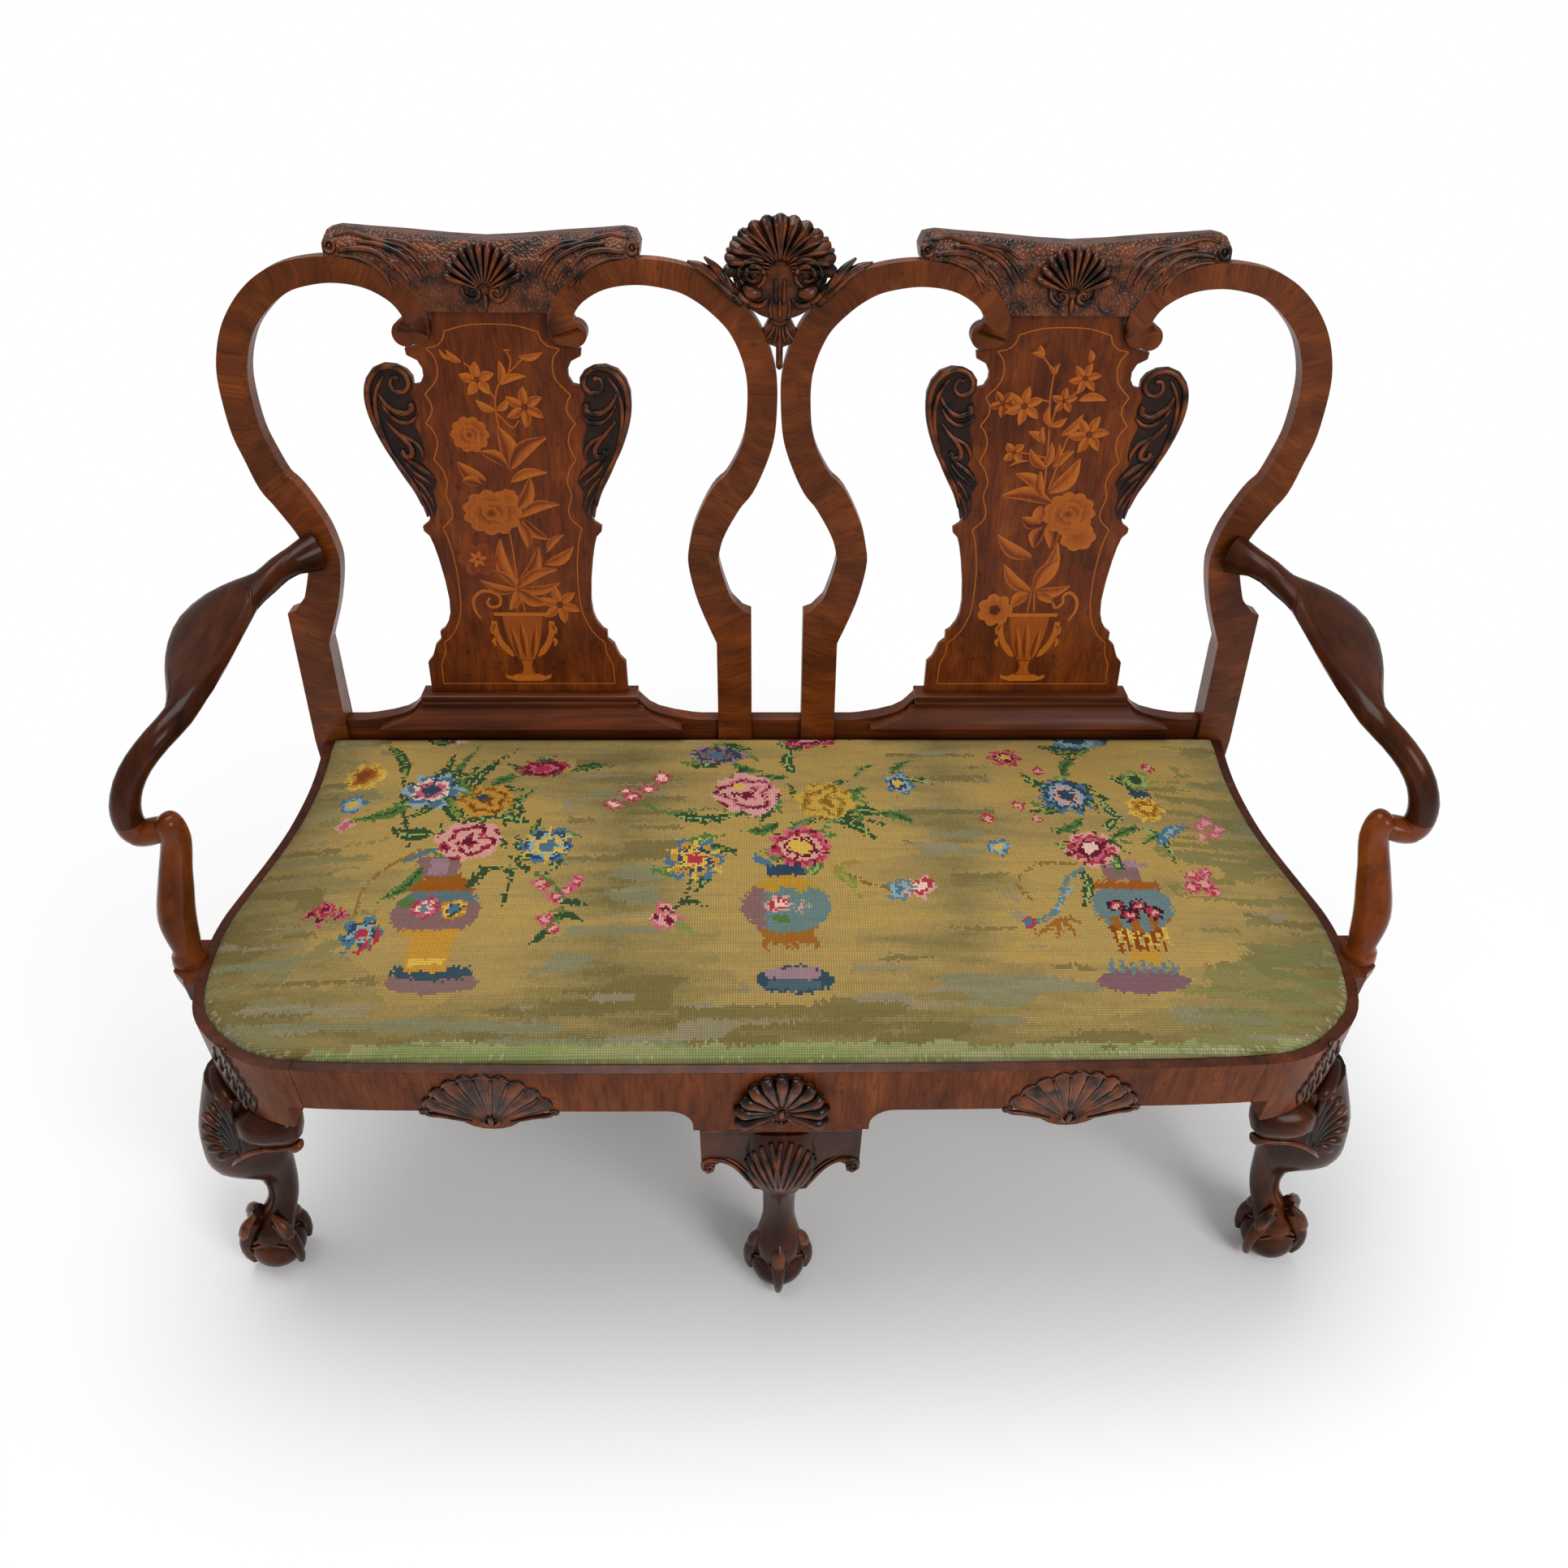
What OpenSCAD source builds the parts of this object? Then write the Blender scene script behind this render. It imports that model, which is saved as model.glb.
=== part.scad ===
// Chair-back settee with two vase splats, shepherd's crook arms, a drop-in seat and cabriole front legs.
// Millimetres. +X to the right as the front is looked at, +Y to the back, +Z up.
// The origin is on the floor, below the middle of the whole settee.

/* [Seat] */
// Height of the seat rails' top above the floor
seat_h = 440; // [400:5:480]
// Depth from the front rail's face to the face of the backs
seat_d = 511; // [470:1:550]
// Height of the seat rails
rail_h = 66; // [58:1:76]
// Thickness of the seat rails
rail_t = 36; // [32:1:42]
// Width of the lip that is left around the drop-in seat
lip_w = 12; // [9:1:15]
// Depth of the rebate that the drop-in seat lies in
rebate_d = 16; // [13:1:19]
// Half width of the front rail's middle drop
drop_half_w = 92; // [80:1:100]
// Depth of the front rail's middle drop
drop_h = 35; // [28:1:40]
// Radius of the coves at both ends of the drop
cove_r = 26; // [18:1:28]

/* [Backs] */
// Half the distance between the axes of the two chair backs
bay = 310; // [290:1:330]
// Length of the backs, measured up their slope from the seat to the top of the crest
back_l = 620; // [580:5:660]
// Angle by which the backs lean
rake = 9; // [5:0.5:12]
// Width of the posts
post_w = 42.5; // [38:0.5:46]
// Thickness of the posts and of the back rail
post_t = 30; // [26:1:36]
// Thickness of the hoops
hoop_t = 20; // [17:1:24]
// Radius of the knob that ends each hoop
knob_r = 13.8; // [12:0.2:15]
// Thickness of the splats
splat_t = 8; // [6:0.5:10]
// Distance of the splats' face behind the face of the hoops
splat_back = 10; // [8:0.5:12]
// Height of the back rail's upstand above the seat
upstand_h = 28; // [24:1:34]
// Height to which the shoes stand
shoe_h = 67; // [60:1:74]
// Half length of a shoe's cap
shoe_half_w = 135; // [130:1:140]
// Distance that a shoe's foot stands proud of the backs
shoe_flare = 14; // [10:1:18]
// Distance that the crest's top rolls back behind the backs' face
crest_roll = 44; // [38:1:50]

/* [Arms] */
// Radius of the arm between its back end and its pad
arm_r = 17; // [15:0.5:19]
// Distance that the block under an arm support stands out from the side rail
block_out = 28; // [24:1:32]

/* [Legs] */
// Radius of the ball in each claw
ball_r = 33; // [30:1:37]
// Distance that the knees and feet stand out from the legs' tops, as a radius
knee_r = 37; // [33:1:41]
// Radius of a corner leg's ankle
ankle_r = 17.5; // [15:0.5:20]
// Angle between a corner leg's outward direction and the front rail
leg_turn = 45; // [36:1:52]
// Distance that the back feet stand behind their tops
back_foot_out = 52; // [40:1:65]
// Thickness of a back foot
back_foot_t = 30; // [26:1:34]

/* [Drop-in seat] */
// Width of the drop-in frame's rails
slip_w = 58; // [50:1:66]
// Thickness of the drop-in frame's rails
slip_t = 18; // [16:1:20]
// Height of the cushion's crown above its rim
crown_h = 16; // [10:1:22]
// Thickness of the needlework cover
cover_t = 2.5; // [2:0.25:3.5]
// Free space around the drop-in seat
slip_gap = 0.8; // [0.5:0.1:1.5]
// Distance between two straps of the webbing
web_pitch = 78; // [70:1:90]

/* [Hidden] */

// One overrun serves every cut that has to pass a face.
over = 1;
// Gap between two faces that are not both flat.
fit = 0.3;
// Steps that a curve takes between two of its points.
steps = 4;
// Facets of small round shapes.
$fn = 32;
// Face of the leg's stump and of the tenons.
tenon_t = 12;
tenon_l = 24;
// Heights of the rail's underside and of the ledge that the drop-in seat lies on.
rail_z = seat_h - rail_h;
ledge_z = seat_h - rebate_d;
// Depth of the corner's extra fall below the front rail.
corner_fall = 36;
// Centre of an outer post, from its own chair back's axis.
post_u = 0.83 * bay;
// Front-to-back reach of the middle knee and of the crest, which set the origin.
knee_reach = 0.62 * knee_r;
y_mid = (seat_d + 0.97 * back_l * sin(rake) + crest_roll * cos(rake) - knee_reach) / 2;

// Curves
function last(p) = p[len(p) - 1];
function reversed(p) = [for (i = [len(p) - 1:-1:0]) p[i]];
function part(p, a, b) = [for (i = [a:b]) p[i]];
function bend(a, b, c, d, t) = 0.5 * (2 * b + (c - a) * t + (2 * a - 5 * b + 4 * c - d) * t * t
    + (3 * b - a - 3 * c + d) * t * t * t);
function smooth(p, n = steps) = let (m = len(p) - 1)
    [for (i = [0:m - 1]) for (k = [0:n - 1])
        bend(p[max(i - 1, 0)], p[i], p[i + 1], p[min(i + 2, m)], k / n), p[m]];
function unit(v) = v / norm(v);
function along(p, i) = unit(p[min(i + 1, len(p) - 1)] - p[max(i - 1, 0)]);
function flat(p) = [for (q = p) [q[0], q[1]]];
function shifted(p, d) = let (q = flat(p))
    [for (i = [0:len(q) - 1]) let (t = along(q, i)) q[i] + d * [-t[1], t[0]]];
function edge(p, s) = let (q = flat(p))
    [for (i = [0:len(q) - 1]) let (t = along(q, i)) q[i] + s * p[i][2] / 2 * [-t[1], t[0]]];
function ribbon(p, a, b) = concat(part(edge(p, 1), a, b), reversed(part(edge(p, -1), a, b)));
function scaled(p, sx, sy) = [for (q = p) [q[0] * sx, q[1] * sy]];
function mirrored_on(p) = concat(p, [for (q = reversed(p)) [-q[0], q[1]]]);

// Round sections carried along a path
function power(v, e) = sign(v) * pow(abs(v), e);
function carry(t, u, i = 0, done = []) = i >= len(t) ? done
    : let (v = unit(u - (u * t[i]) * t[i])) carry(t, v, i + 1, concat(done, [v]));
// Each row of the path is x, y, z, half width, half thickness.
function tube_rings(rows, up, n = 16) = let (p = [for (r = rows) [r[0], r[1], r[2]]],
    t = [for (i = [0:len(p) - 1]) along(p, i)], u = carry(t, up))
    [for (i = [0:len(p) - 1]) let (s = cross(u[i], t[i]))
        [for (k = [0:n - 1]) let (a = 360 * k / n)
            p[i] + rows[i][3] * cos(a) * s + rows[i][4] * sin(a) * u[i]]];
// Level sections of a leg: each row is height, outward place, outward half, sideways half, squareness.
function leg_rings(rows, n = 20) = [for (r = rows) [for (k = [0:n - 1]) let (a = 360 * k / n)
    [r[1] + r[2] * power(cos(a), 2 / r[4]), r[3] * power(sin(a), 2 / r[4]), r[0]]]];

module loft(rings) {
    m = len(rings);
    n = len(rings[0]);
    polyhedron([for (r = rings) each r], concat(
        [[for (j = [0:n - 1]) j]],
        [for (i = [0:m - 2], j = [0:n - 1]) each [
            [i * n + j, (i + 1) * n + (j + 1) % n, i * n + (j + 1) % n],
            [i * n + j, (i + 1) * n + j, (i + 1) * n + (j + 1) % n]]],
        [[for (j = [n - 1:-1:0]) (m - 1) * n + j]]));
}

// Places
module placed() { translate([0, -y_mid, 0]) children(); }
module on_side(s) { placed() mirror([s < 0 ? 1 : 0, 0, 0]) children(); }
// The backs' plane: x across, y up the slope, z forward.
module on_back() { translate([0, seat_d, seat_h]) rotate([90 - rake, 0, 0]) children(); }
// A slab that starts at a depth behind the backs' face.
module slab(depth, thick) { translate([0, 0, -depth - thick]) linear_extrude(thick) children(); }

// Seat plan, from the front's middle to the back corner: shares of the bay and of the seat's depth.
plan_shares = [[0, 0], [0.65, 0.001], [1.22, 0.006], [1.42, 0.009], [1.58, 0.014], [1.69, 0.024],
    [1.81, 0.059], [1.936, 0.131], [1.983, 0.211], [1.995, 0.313], [1.984, 0.401], [1.947, 0.489],
    [1.903, 0.587], [1.868, 0.685], [1.848, 0.802], [1.848, 0.9], [1.861, 1]];
plan = smooth(scaled(plan_shares, bay, seat_d));
// Where the front rail meets the corner, and the corner the side rail.
corner_from = 4 * steps;
corner_to = 8 * steps;

function plan_band(a, b, d0, d1) = concat(part(shifted(plan, d0), a, b),
    reversed(part(shifted(plan, d1), a, b)));

module rail_prism(a, b, z = rail_z) {
    translate([0, 0, z]) linear_extrude(ledge_z - z) polygon(plan_band(a, b, 0, rail_t));
    translate([0, 0, z]) linear_extrude(seat_h - z) polygon(plan_band(a, b, 0, lip_w));
}

module tenon(l = 2 * tenon_l) {
    translate([0, 0, rail_z + rail_h / 2 - tenon_t / 4])
        cube([l, tenon_t, rail_h / 2], center = true);
}

// A tenon that lies along the rail at a point of the plan.
module plan_tenon(i) {
    p = shifted(plan, 0.6 * rail_t)[i];
    t = along(plan, i);
    translate([p[0], p[1], 0]) rotate(atan2(t[1], t[0])) tenon();
}

// Lower outline of the front rail.
function rail_foot() = concat([[1.6 * bay, 0]],
    [for (a = [0:15:90]) [drop_half_w + cove_r * (1 - sin(a)), -cove_r * (1 - cos(a))]],
    [[drop_half_w, -drop_h]]);
// Half of the small lobe behind each apron shell: shares of the lobe's half width and fall.
lobe_half_w = 66;
lobe_fall = 32;
lobe_shares = [[1, 0.1], [0.86, -0.05], [0.75, -0.2], [0.7, -0.31], [0.53, -0.32], [0.45, -0.6],
    [0.3, -0.85], [0.14, -0.98], [0, -1]];

module front_rail() {
    color("saddlebrown") placed() {
        difference() {
            union() {
                intersection() {
                    union() {
                        rail_prism(0, corner_from, rail_z - drop_h);
                        mirror([1, 0, 0]) rail_prism(0, corner_from, rail_z - drop_h);
                    }
                    translate([0, seat_d / 2, 0]) rotate([90, 0, 0]) linear_extrude(seat_d) {
                        translate([0, rail_z]) polygon(concat(mirrored_on(rail_foot()),
                            [[-1.6 * bay, rail_h], [1.6 * bay, rail_h]]));
                        for (s = [-1, 1]) translate([s * 0.968 * bay, rail_z])
                            polygon(mirrored_on(scaled(lobe_shares, lobe_half_w, lobe_fall)));
                    }
                }
                for (s = [0, 1]) mirror([s, 0, 0]) plan_tenon(corner_from);
            }
            // Mortises of the middle leg and the middle rail.
            translate([0, 0.55 * rail_t, rail_z - drop_h])
                cube([tenon_l, tenon_t, 2 * tenon_l], center = true);
            middle_tenon();
        }
    }
}

// Corner legs stand under the rounded corners.
leg_place = [1.845 * bay, 0.1795 * seat_d];
stump = 30;
module at_corner_leg() {
    translate([leg_place[0], leg_place[1], 0]) rotate(-leg_turn) children();
}
module leg_stump() {
    translate([0, 0, leg_h + rail_h / 3]) cube([stump, stump, rail_h], center = true);
}

module corner_piece(s) {
    color("saddlebrown") on_side(s) difference() {
        union() {
            rail_prism(corner_from, corner_to);
            rail_prism(corner_from + 2, corner_to - 1, leg_h);
            plan_tenon(corner_to);
        }
        plan_tenon(corner_from);
        at_corner_leg() leg_stump();
        screw_bores();
    }
}

module side_rail(s) {
    color("saddlebrown") on_side(s) difference() {
        union() {
            intersection() {
                rail_prism(corner_to, len(plan) - 1);
                cube([3 * bay, seat_d, 2 * seat_h]);
            }
            side_tenon();
        }
        plan_tenon(corner_to);
        support_tenon();
        screw_bores();
    }
}

// The side rail's tenon in the post ends at the face of the back rail's tenon.
module side_tenon() {
    translate([bay + post_u - 0.1 * post_w - tenon_t / 2, seat_d - tenon_l, rail_z + rail_h / 4])
        cube([tenon_t, tenon_l + (post_t - tenon_t) / 2, rail_h / 2]);
}

// Back rail: its top slopes with the backs, and a ledge in front carries the drop-in seat.
ledge_w = 21;
module back_rail() {
    end = bay + post_u - post_w / 2;
    color("saddlebrown") placed() difference() {
        union() {
            rotate([90, 0, 90]) translate([0, 0, -end]) linear_extrude(2 * end)
                polygon([[seat_d, rail_z], [seat_d + post_t, rail_z],
                    [seat_d + post_t * cos(rake), seat_h - post_t * sin(rake)], [seat_d, seat_h]]);
            translate([-1.71 * bay, seat_d - ledge_w, rail_z])
                cube([3.42 * bay, ledge_w + post_t / 2, rail_h - rebate_d]);
            for (m = [-1, 1]) translate([m * end, seat_d + post_t / 2, rail_z + rail_h / 2])
                cube([2 * tenon_l, tenon_t, rail_h / 2], center = true);
        }
        for (m = [-1, 1]) on_back() translate([m * (bay - post_u), 0, -post_t / 2])
            cube([post_w / 2, 2 * tenon_l, tenon_t], center = true);
        translate([0, seat_d + post_t / 2, rail_z]) cube([post_w / 2, tenon_t, 2 * tenon_l], center = true);
        middle_tenon();
    }
}

// Middle rail, from the front rail to the back rail.
middle_w = 44;
module middle_tenon() {
    for (y = [rail_t, seat_d - ledge_w]) translate([0, y, rail_z + rail_h / 3])
        cube([middle_w / 2, tenon_l, rail_h / 3], center = true);
}
module middle_rail() {
    color("peru") placed() {
        translate([-middle_w / 2, rail_t + fit, rail_z + over])
            cube([middle_w, seat_d - ledge_w - rail_t - fit, rail_h - rebate_d - 2 * over]);
        middle_tenon();
    }
}

// Glue blocks fill the inside corners.
block_l = 62;
module glue_blocks() {
    color("peru") placed() for (s = [0, 1]) mirror([s, 0, 0]) {
        difference() {
            translate([0, 0, rail_z + over]) linear_extrude(rail_h - rebate_d - 2 * over)
                polygon([[1.45 * bay, 0], [2 * bay, 0], [2 * bay, 0.36 * seat_d]]);
            translate([0, 0, rail_z]) linear_extrude(rail_h) polygon(concat(
                part(shifted(plan, rail_t), 0, corner_to + 2 * steps),
                [[3 * bay, seat_d / 2], [3 * bay, -bay], [0, -bay]]));
            at_corner_leg() leg_stump();
            screw_bores();
        }
        difference() {
            translate([0, 0, rail_z + over]) linear_extrude(rail_h - rebate_d - 2 * over)
                polygon([[1.9 * bay, seat_d - ledge_w], [1.9 * bay, seat_d - ledge_w - 2.2 * block_l],
                    [1.9 * bay - 2.2 * block_l, seat_d - ledge_w]]);
            translate([0, 0, rail_z]) linear_extrude(rail_h) polygon(concat(
                part(shifted(plan, rail_t), corner_to, len(plan) - 1), [[3 * bay, seat_d], [3 * bay, 0]]));
        }
    }
}

// A claw's toe lies over the ball, each row radius out, height, half thickness: shares of the ball.
toe_shares = [[0.42, 2.6, 0.24], [0.62, 2.32, 0.26], [0.86, 1.95, 0.28], [1.02, 1.55, 0.24],
    [1.08, 1.2, 0.2], [1.07, 0.75, 0.17], [0.99, 0.34, 0.13]];
// Toes of a corner foot are spread towards the sides of the settee, in shares of a turn.
toe_turn_shares = [0.039, -0.289, 0.211, 0.539];
corner_toes = [for (q = toe_turn_shares) 360 * q];
// The ball's centre is a little lower than its radius, so it stands on a flat.
ball_z = 0.91 * ball_r;
module claw_and_ball(toes) {
    difference() {
        translate([0, 0, ball_z]) sphere(ball_r, $fn = 64);
        translate([0, 0, -2 * ball_r]) cube(4 * ball_r, center = true);
    }
    for (a = toes) rotate(a) loft(tube_rings([for (r = toe_shares)
        [r[0] * ball_r, 0, r[1] * ball_r, r[2] * ball_r, r[2] * ball_r]], [1, 0, 0.3], 10));
}

// Corner leg's sections: shares of its height above the foot, of the knee's radius for the place, of
// twice the ankle's radius for both halves, and the squareness.
leg_h = rail_z - corner_fall;
foot_top = 1.54 * ball_r;
foot_out = 1.54 * knee_r;
corner_leg_shares = [[1, 0.28, 1.25, 1.18, 2.4], [0.912, 0.58, 1.35, 1.15, 2],
    [0.824, 0.9, 1.33, 1.08, 1.8], [0.735, 1.11, 1.25, 1.02, 1.75], [0.647, 1.2, 1.22, 0.96, 1.8],
    [0.568, 1.17, 1.15, 0.89, 1.85], [0.506, 1, 1.02, 0.82, 1.9], [0.451, 0.86, 0.84, 0.72, 1.95],
    [0.391, 0.72, 0.67, 0.62, 2], [0.329, 0.68, 0.57, 0.56, 2], [0.259, 0.7, 0.52, 0.52, 2],
    [0.192, 0.8, 0.51, 0.51, 2], [0.141, 0.98, 0.55, 0.55, 2], [0.088, 1.25, 0.64, 0.64, 2],
    [0.047, 1.45, 0.72, 0.72, 2], [0, 1.54, 0.7, 0.7, 2]];
module corner_leg_body() {
    loft(reversed(leg_rings([for (r = smooth(corner_leg_shares, 2))
        [foot_top + r[0] * (leg_h - foot_top), r[1] * knee_r, 2 * r[2] * ankle_r, 2 * r[3] * ankle_r,
        r[4]]])));
}

module front_leg(s) {
    color("saddlebrown") on_side(s) at_corner_leg() {
        corner_leg_body();
        translate([foot_out, 0, 0]) claw_and_ball(corner_toes);
        leg_stump();
    }
}

// Scrolled brackets run from a corner leg's knee to the rails: shares of their length and height.
bracket_l = 42;
bracket_h = 52;
bracket_t = 26;
bracket_shares = [[0, 0], [1, 0], [1.02, -0.2], [1.03, -0.5], [1, -0.8], [0.92, -1], [0.8, -1.02],
    [0.7, -0.92], [0.6, -0.84], [0.4, -0.86], [0.2, -0.96], [0, -1.1]];
module bracket() {
    rotate([90, 0, 0]) translate([0, 0, -bracket_t / 2]) linear_extrude(bracket_t)
        polygon(scaled(bracket_shares, bracket_l, bracket_h));
}
module knee_brackets(s) {
    color("saddlebrown") on_side(s) difference() {
        union() {
            translate([1.8 * bay, 0.038 * seat_d, leg_h]) rotate(180) bracket();
            translate([1.93 * bay, 0.235 * seat_d, leg_h]) rotate(90) bracket();
        }
        at_corner_leg() corner_leg_body();
    }
}

// Middle front leg: bracket outline in shares of the drop's half width and of the leg's height.
middle_h = rail_z - drop_h;
middle_t = 50;
middle_foot_top = 1.745 * ball_r;
middle_shares = [[0, 1], [0.93, 1], [0.93, 0.79], [0.925, 0.757], [0.86, 0.738], [0.79, 0.75], [0.765, 0.79],
    [0.68, 0.81], [0.58, 0.785], [0.48, 0.74], [0.4, 0.695], [0.32, 0.645], [0, 0.63]];
middle_leg_shares = [[0.964, -0.6, 0.62, 1.1, 3], [0.892, -0.42, 0.72, 1.04, 2.4],
    [0.807, -0.25, 0.82, 1, 2], [0.723, -0.24, 0.83, 0.97, 1.9], [0.639, -0.38, 0.74, 0.82, 1.9],
    [0.554, -0.55, 0.6, 0.62, 2], [0.458, -0.68, 0.53, 0.52, 2], [0.349, -0.76, 0.49, 0.5, 2],
    [0.241, -0.77, 0.49, 0.5, 2], [0.157, -0.7, 0.58, 0.6, 2], [0.084, -0.62, 0.7, 0.72, 2],
    [0, -0.6, 0.7, 0.7, 2]];
module front_leg_middle() {
    color("saddlebrown") placed() {
        translate([0, 0.06 * middle_t + middle_t, 0]) rotate([90, 0, 0]) linear_extrude(middle_t)
            polygon(mirrored_on(scaled(middle_shares, drop_half_w, middle_h)));
        rotate(-90) {
            loft(reversed(leg_rings([for (r = smooth(middle_leg_shares, 2))
                [middle_foot_top + r[0] * (middle_h - middle_foot_top), r[1] * knee_r, r[2] * knee_r,
                r[3] * knee_r, r[4]]])));
            translate([-0.6 * knee_r, 0, 0]) claw_and_ball([0:90:270]);
        }
        translate([0, 0.55 * rail_t, rail_z - drop_h]) cube([tenon_l, tenon_t, 2 * tenon_l], center = true);
    }
}

// Back legs: side outline from the rail down to the floor, shares of the foot's reach and the height.
back_leg_shares = [[0, 1], [0, 0.86], [0.03, 0.7], [0.12, 0.5], [0.36, 0.27], [0.68, 0.1], [1, 0]];
module back_leg_prism(w, top) {
    line = smooth(back_leg_shares, 3);
    translate([-w / 2, seat_d, 0]) rotate([90, 0, 90]) linear_extrude(w) polygon(concat(
        [for (q = line) [max(q[0], 0) * back_foot_out, q[1] * top]],
        reversed([for (q = line)
            [q[0] * back_foot_out + back_foot_t + (post_t - back_foot_t) * q[1], q[1] * top]])));
}

// Centre line of a hoop from its post to its knob: shares of the bay, the back's length and the post's width.
hoop_shares = [[0.829, 0.226, 0.918], [0.755, 0.321, 0.918], [0.719, 0.392, 0.86], [0.723, 0.427, 0.847],
    [0.747, 0.468, 0.882], [0.806, 0.524, 0.93], [0.856, 0.553, 0.871], [0.905, 0.602, 0.8],
    [0.931, 0.645, 0.788], [0.94, 0.695, 0.776], [0.939, 0.742, 0.776], [0.924, 0.779, 0.765],
    [0.897, 0.814, 0.753], [0.86, 0.844, 0.729], [0.808, 0.871, 0.729], [0.747, 0.894, 0.706],
    [0.676, 0.911, 0.659], [0.595, 0.92, 0.635], [0.519, 0.923, 0.612], [0.439, 0.919, 0.588],
    [0.369, 0.908, 0.56], [0.305, 0.889, 0.565], [0.266, 0.868, 0.588], [0.247, 0.847, 0.635],
    [0.258, 0.824, 0.7]];
// The outer hoops stand in a little, the inner ones touch each other.
outer_pull = 0.03;
function pulled(r, m) = m == 1 ? 1
    : 1 - outer_pull * min(1, max(0, 12 * (r[1] - 0.524))) * min(1, max(0, 2.2 * (r[0] - 0.4)));
function hoop_path(m) = smooth([for (r = hoop_shares)
    [r[0] * bay * pulled(r, m), r[1] * back_l, r[2] * post_w]]);
hoop_lines = [hoop_path(0), hoop_path(1)];
elbow = 5 * steps;
knob_place = [0.29 * bay, 0.82 * back_l];
function within(p) = [for (q = p) [min(q[0], bay), q[1]]];

// Lower part of a stile, with the square shoulder where it leaves its post.
shoulder_shares = [[0.5, 0.289], [0.26, 0.296], [-0.04, 0.32], [-0.26, 0.347], [-0.5, 0.252]];
module stile_outline(m) {
    polygon(ribbon(hoop_lines[m], 0, elbow));
    polygon(concat([[post_u - post_w / 2, 0], [post_u + post_w / 2, 0]],
        [for (q = shoulder_shares) [post_u + q[0] * post_w, q[1] * back_l]]));
}
module hoop_outline(m) {
    polygon(within(ribbon(hoop_lines[m], elbow, len(hoop_lines[m]) - 1)));
    translate(knob_place) circle(knob_r);
    translate([0.253 * bay, 0.825 * back_l]) circle(1.08 * knob_r);
}
module both_hoops() { for (m = [0, 1]) mirror([m, 0, 0]) hoop_outline(m); }
// Blind holes for the dowels between stile and hoop.
dowel_r = 4;
dowel_l = 44;
module elbow_dowels() {
    p = hoop_lines[1][elbow];
    t = along(hoop_lines[1], elbow);
    for (m = [-1, 1]) translate([p[0] - m * t[1] * post_w / 5, p[1] + m * t[0] * post_w / 5, -hoop_t / 2])
        rotate(atan2(t[1], t[0])) rotate([0, 90, 0]) cylinder(r = dowel_r, h = dowel_l, center = true);
}

// Side of the post that joins the wood at the seat to the sloping back.
module post_body(m) {
    on_back() slab(0, hoop_t) stile_outline(m);
    on_back() intersection() {
        slab(0, post_t) stile_outline(m);
        rotate([90, 0, 90]) linear_extrude(2 * bay) polygon([[0, over], [0, -post_t], [0.2 * back_l, -post_t],
            [0.33 * back_l, -hoop_t], [0.33 * back_l, over]]);
    }
}

module back_post(s) {
    color("saddlebrown") on_side(s) difference() {
        union() {
            translate([bay, 0, 0]) post_body(0);
            translate([bay + post_u, 0, 0]) intersection() {
                back_leg_prism(post_w, seat_h);
                translate([-bay, 0, 0]) cube([2 * bay, 2 * seat_d, seat_h]);
            }
        }
        side_tenon();
        translate([bay + post_u - post_w / 2, seat_d + post_t / 2, rail_z + rail_h / 2])
            cube([2 * tenon_l, tenon_t, rail_h / 2], center = true);
        on_back() translate([bay, 0, 0]) elbow_dowels();
        arm_tenon();
    }
}

module inner_post(s) {
    color("saddlebrown") on_side(s) translate([bay, 0, 0]) mirror([1, 0, 0]) difference() {
        union() {
            post_body(1);
            on_back() translate([post_u, 0, -post_t / 2])
                cube([post_w / 2, 2 * tenon_l, tenon_t], center = true);
        }
        on_back() elbow_dowels();
    }
}

module back_leg_middle() {
    color("saddlebrown") placed() {
        back_leg_prism(post_w, rail_z);
        translate([0, seat_d + post_t / 2, rail_z]) cube([post_w / 2, tenon_t, 2 * tenon_l], center = true);
    }
}

module hoop(s, m) {
    color("sienna") on_side(s) translate([bay, 0, 0]) mirror([m, 0, 0]) on_back() difference() {
        slab(0, hoop_t) hoop_outline(m);
        elbow_dowels();
    }
}

module hoop_dowels() {
    color("burlywood") placed() for (s = [0, 1]) mirror([s, 0, 0]) translate([bay, 0, 0])
        for (m = [0, 1]) mirror([m, 0, 0]) on_back() elbow_dowels();
}

// Crest: front outline, from its middle to its outer end, in shares of the bay and the back's length.
crest_shares = [[0, 0.968], [0.12, 0.971], [0.26, 0.977], [0.4, 0.982], [0.475, 0.986], [0.515, 0.981],
    [0.53, 0.963], [0.525, 0.943], [0.5, 0.936]];
// Side outline: depth behind the face in shares of the roll, height in shares of the back's length.
roll_shares = [[0, 0.8], [0, 0.92], [0.08, 0.945], [0.22, 0.966], [0.45, 0.981], [0.72, 0.988], [0.93, 0.983],
    [1, 0.97], [0.93, 0.952], [0.72, 0.93], [0.55, 0.905], [0.5, 0.8]];
crest_foot = 0.856 * back_l;
module crest_outline() {
    difference() {
        polygon(mirrored_on(concat([[0.2 * bay, crest_foot]], reversed(scaled(crest_shares, bay, back_l)))));
        both_hoops();
    }
}
module crest(s) {
    color("#3a2114") on_side(s) translate([bay, 0, 0]) on_back() difference() {
        intersection() {
            slab(-over, crest_roll + 2 * over) crest_outline();
            rotate([90, 0, 90]) translate([0, 0, -bay]) linear_extrude(2 * bay)
                polygon([for (q = smooth(roll_shares, 2)) [q[1] * back_l, -max(q[0], 0) * crest_roll]]);
        }
        splat_tongue(crest_foot);
    }
}

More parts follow.
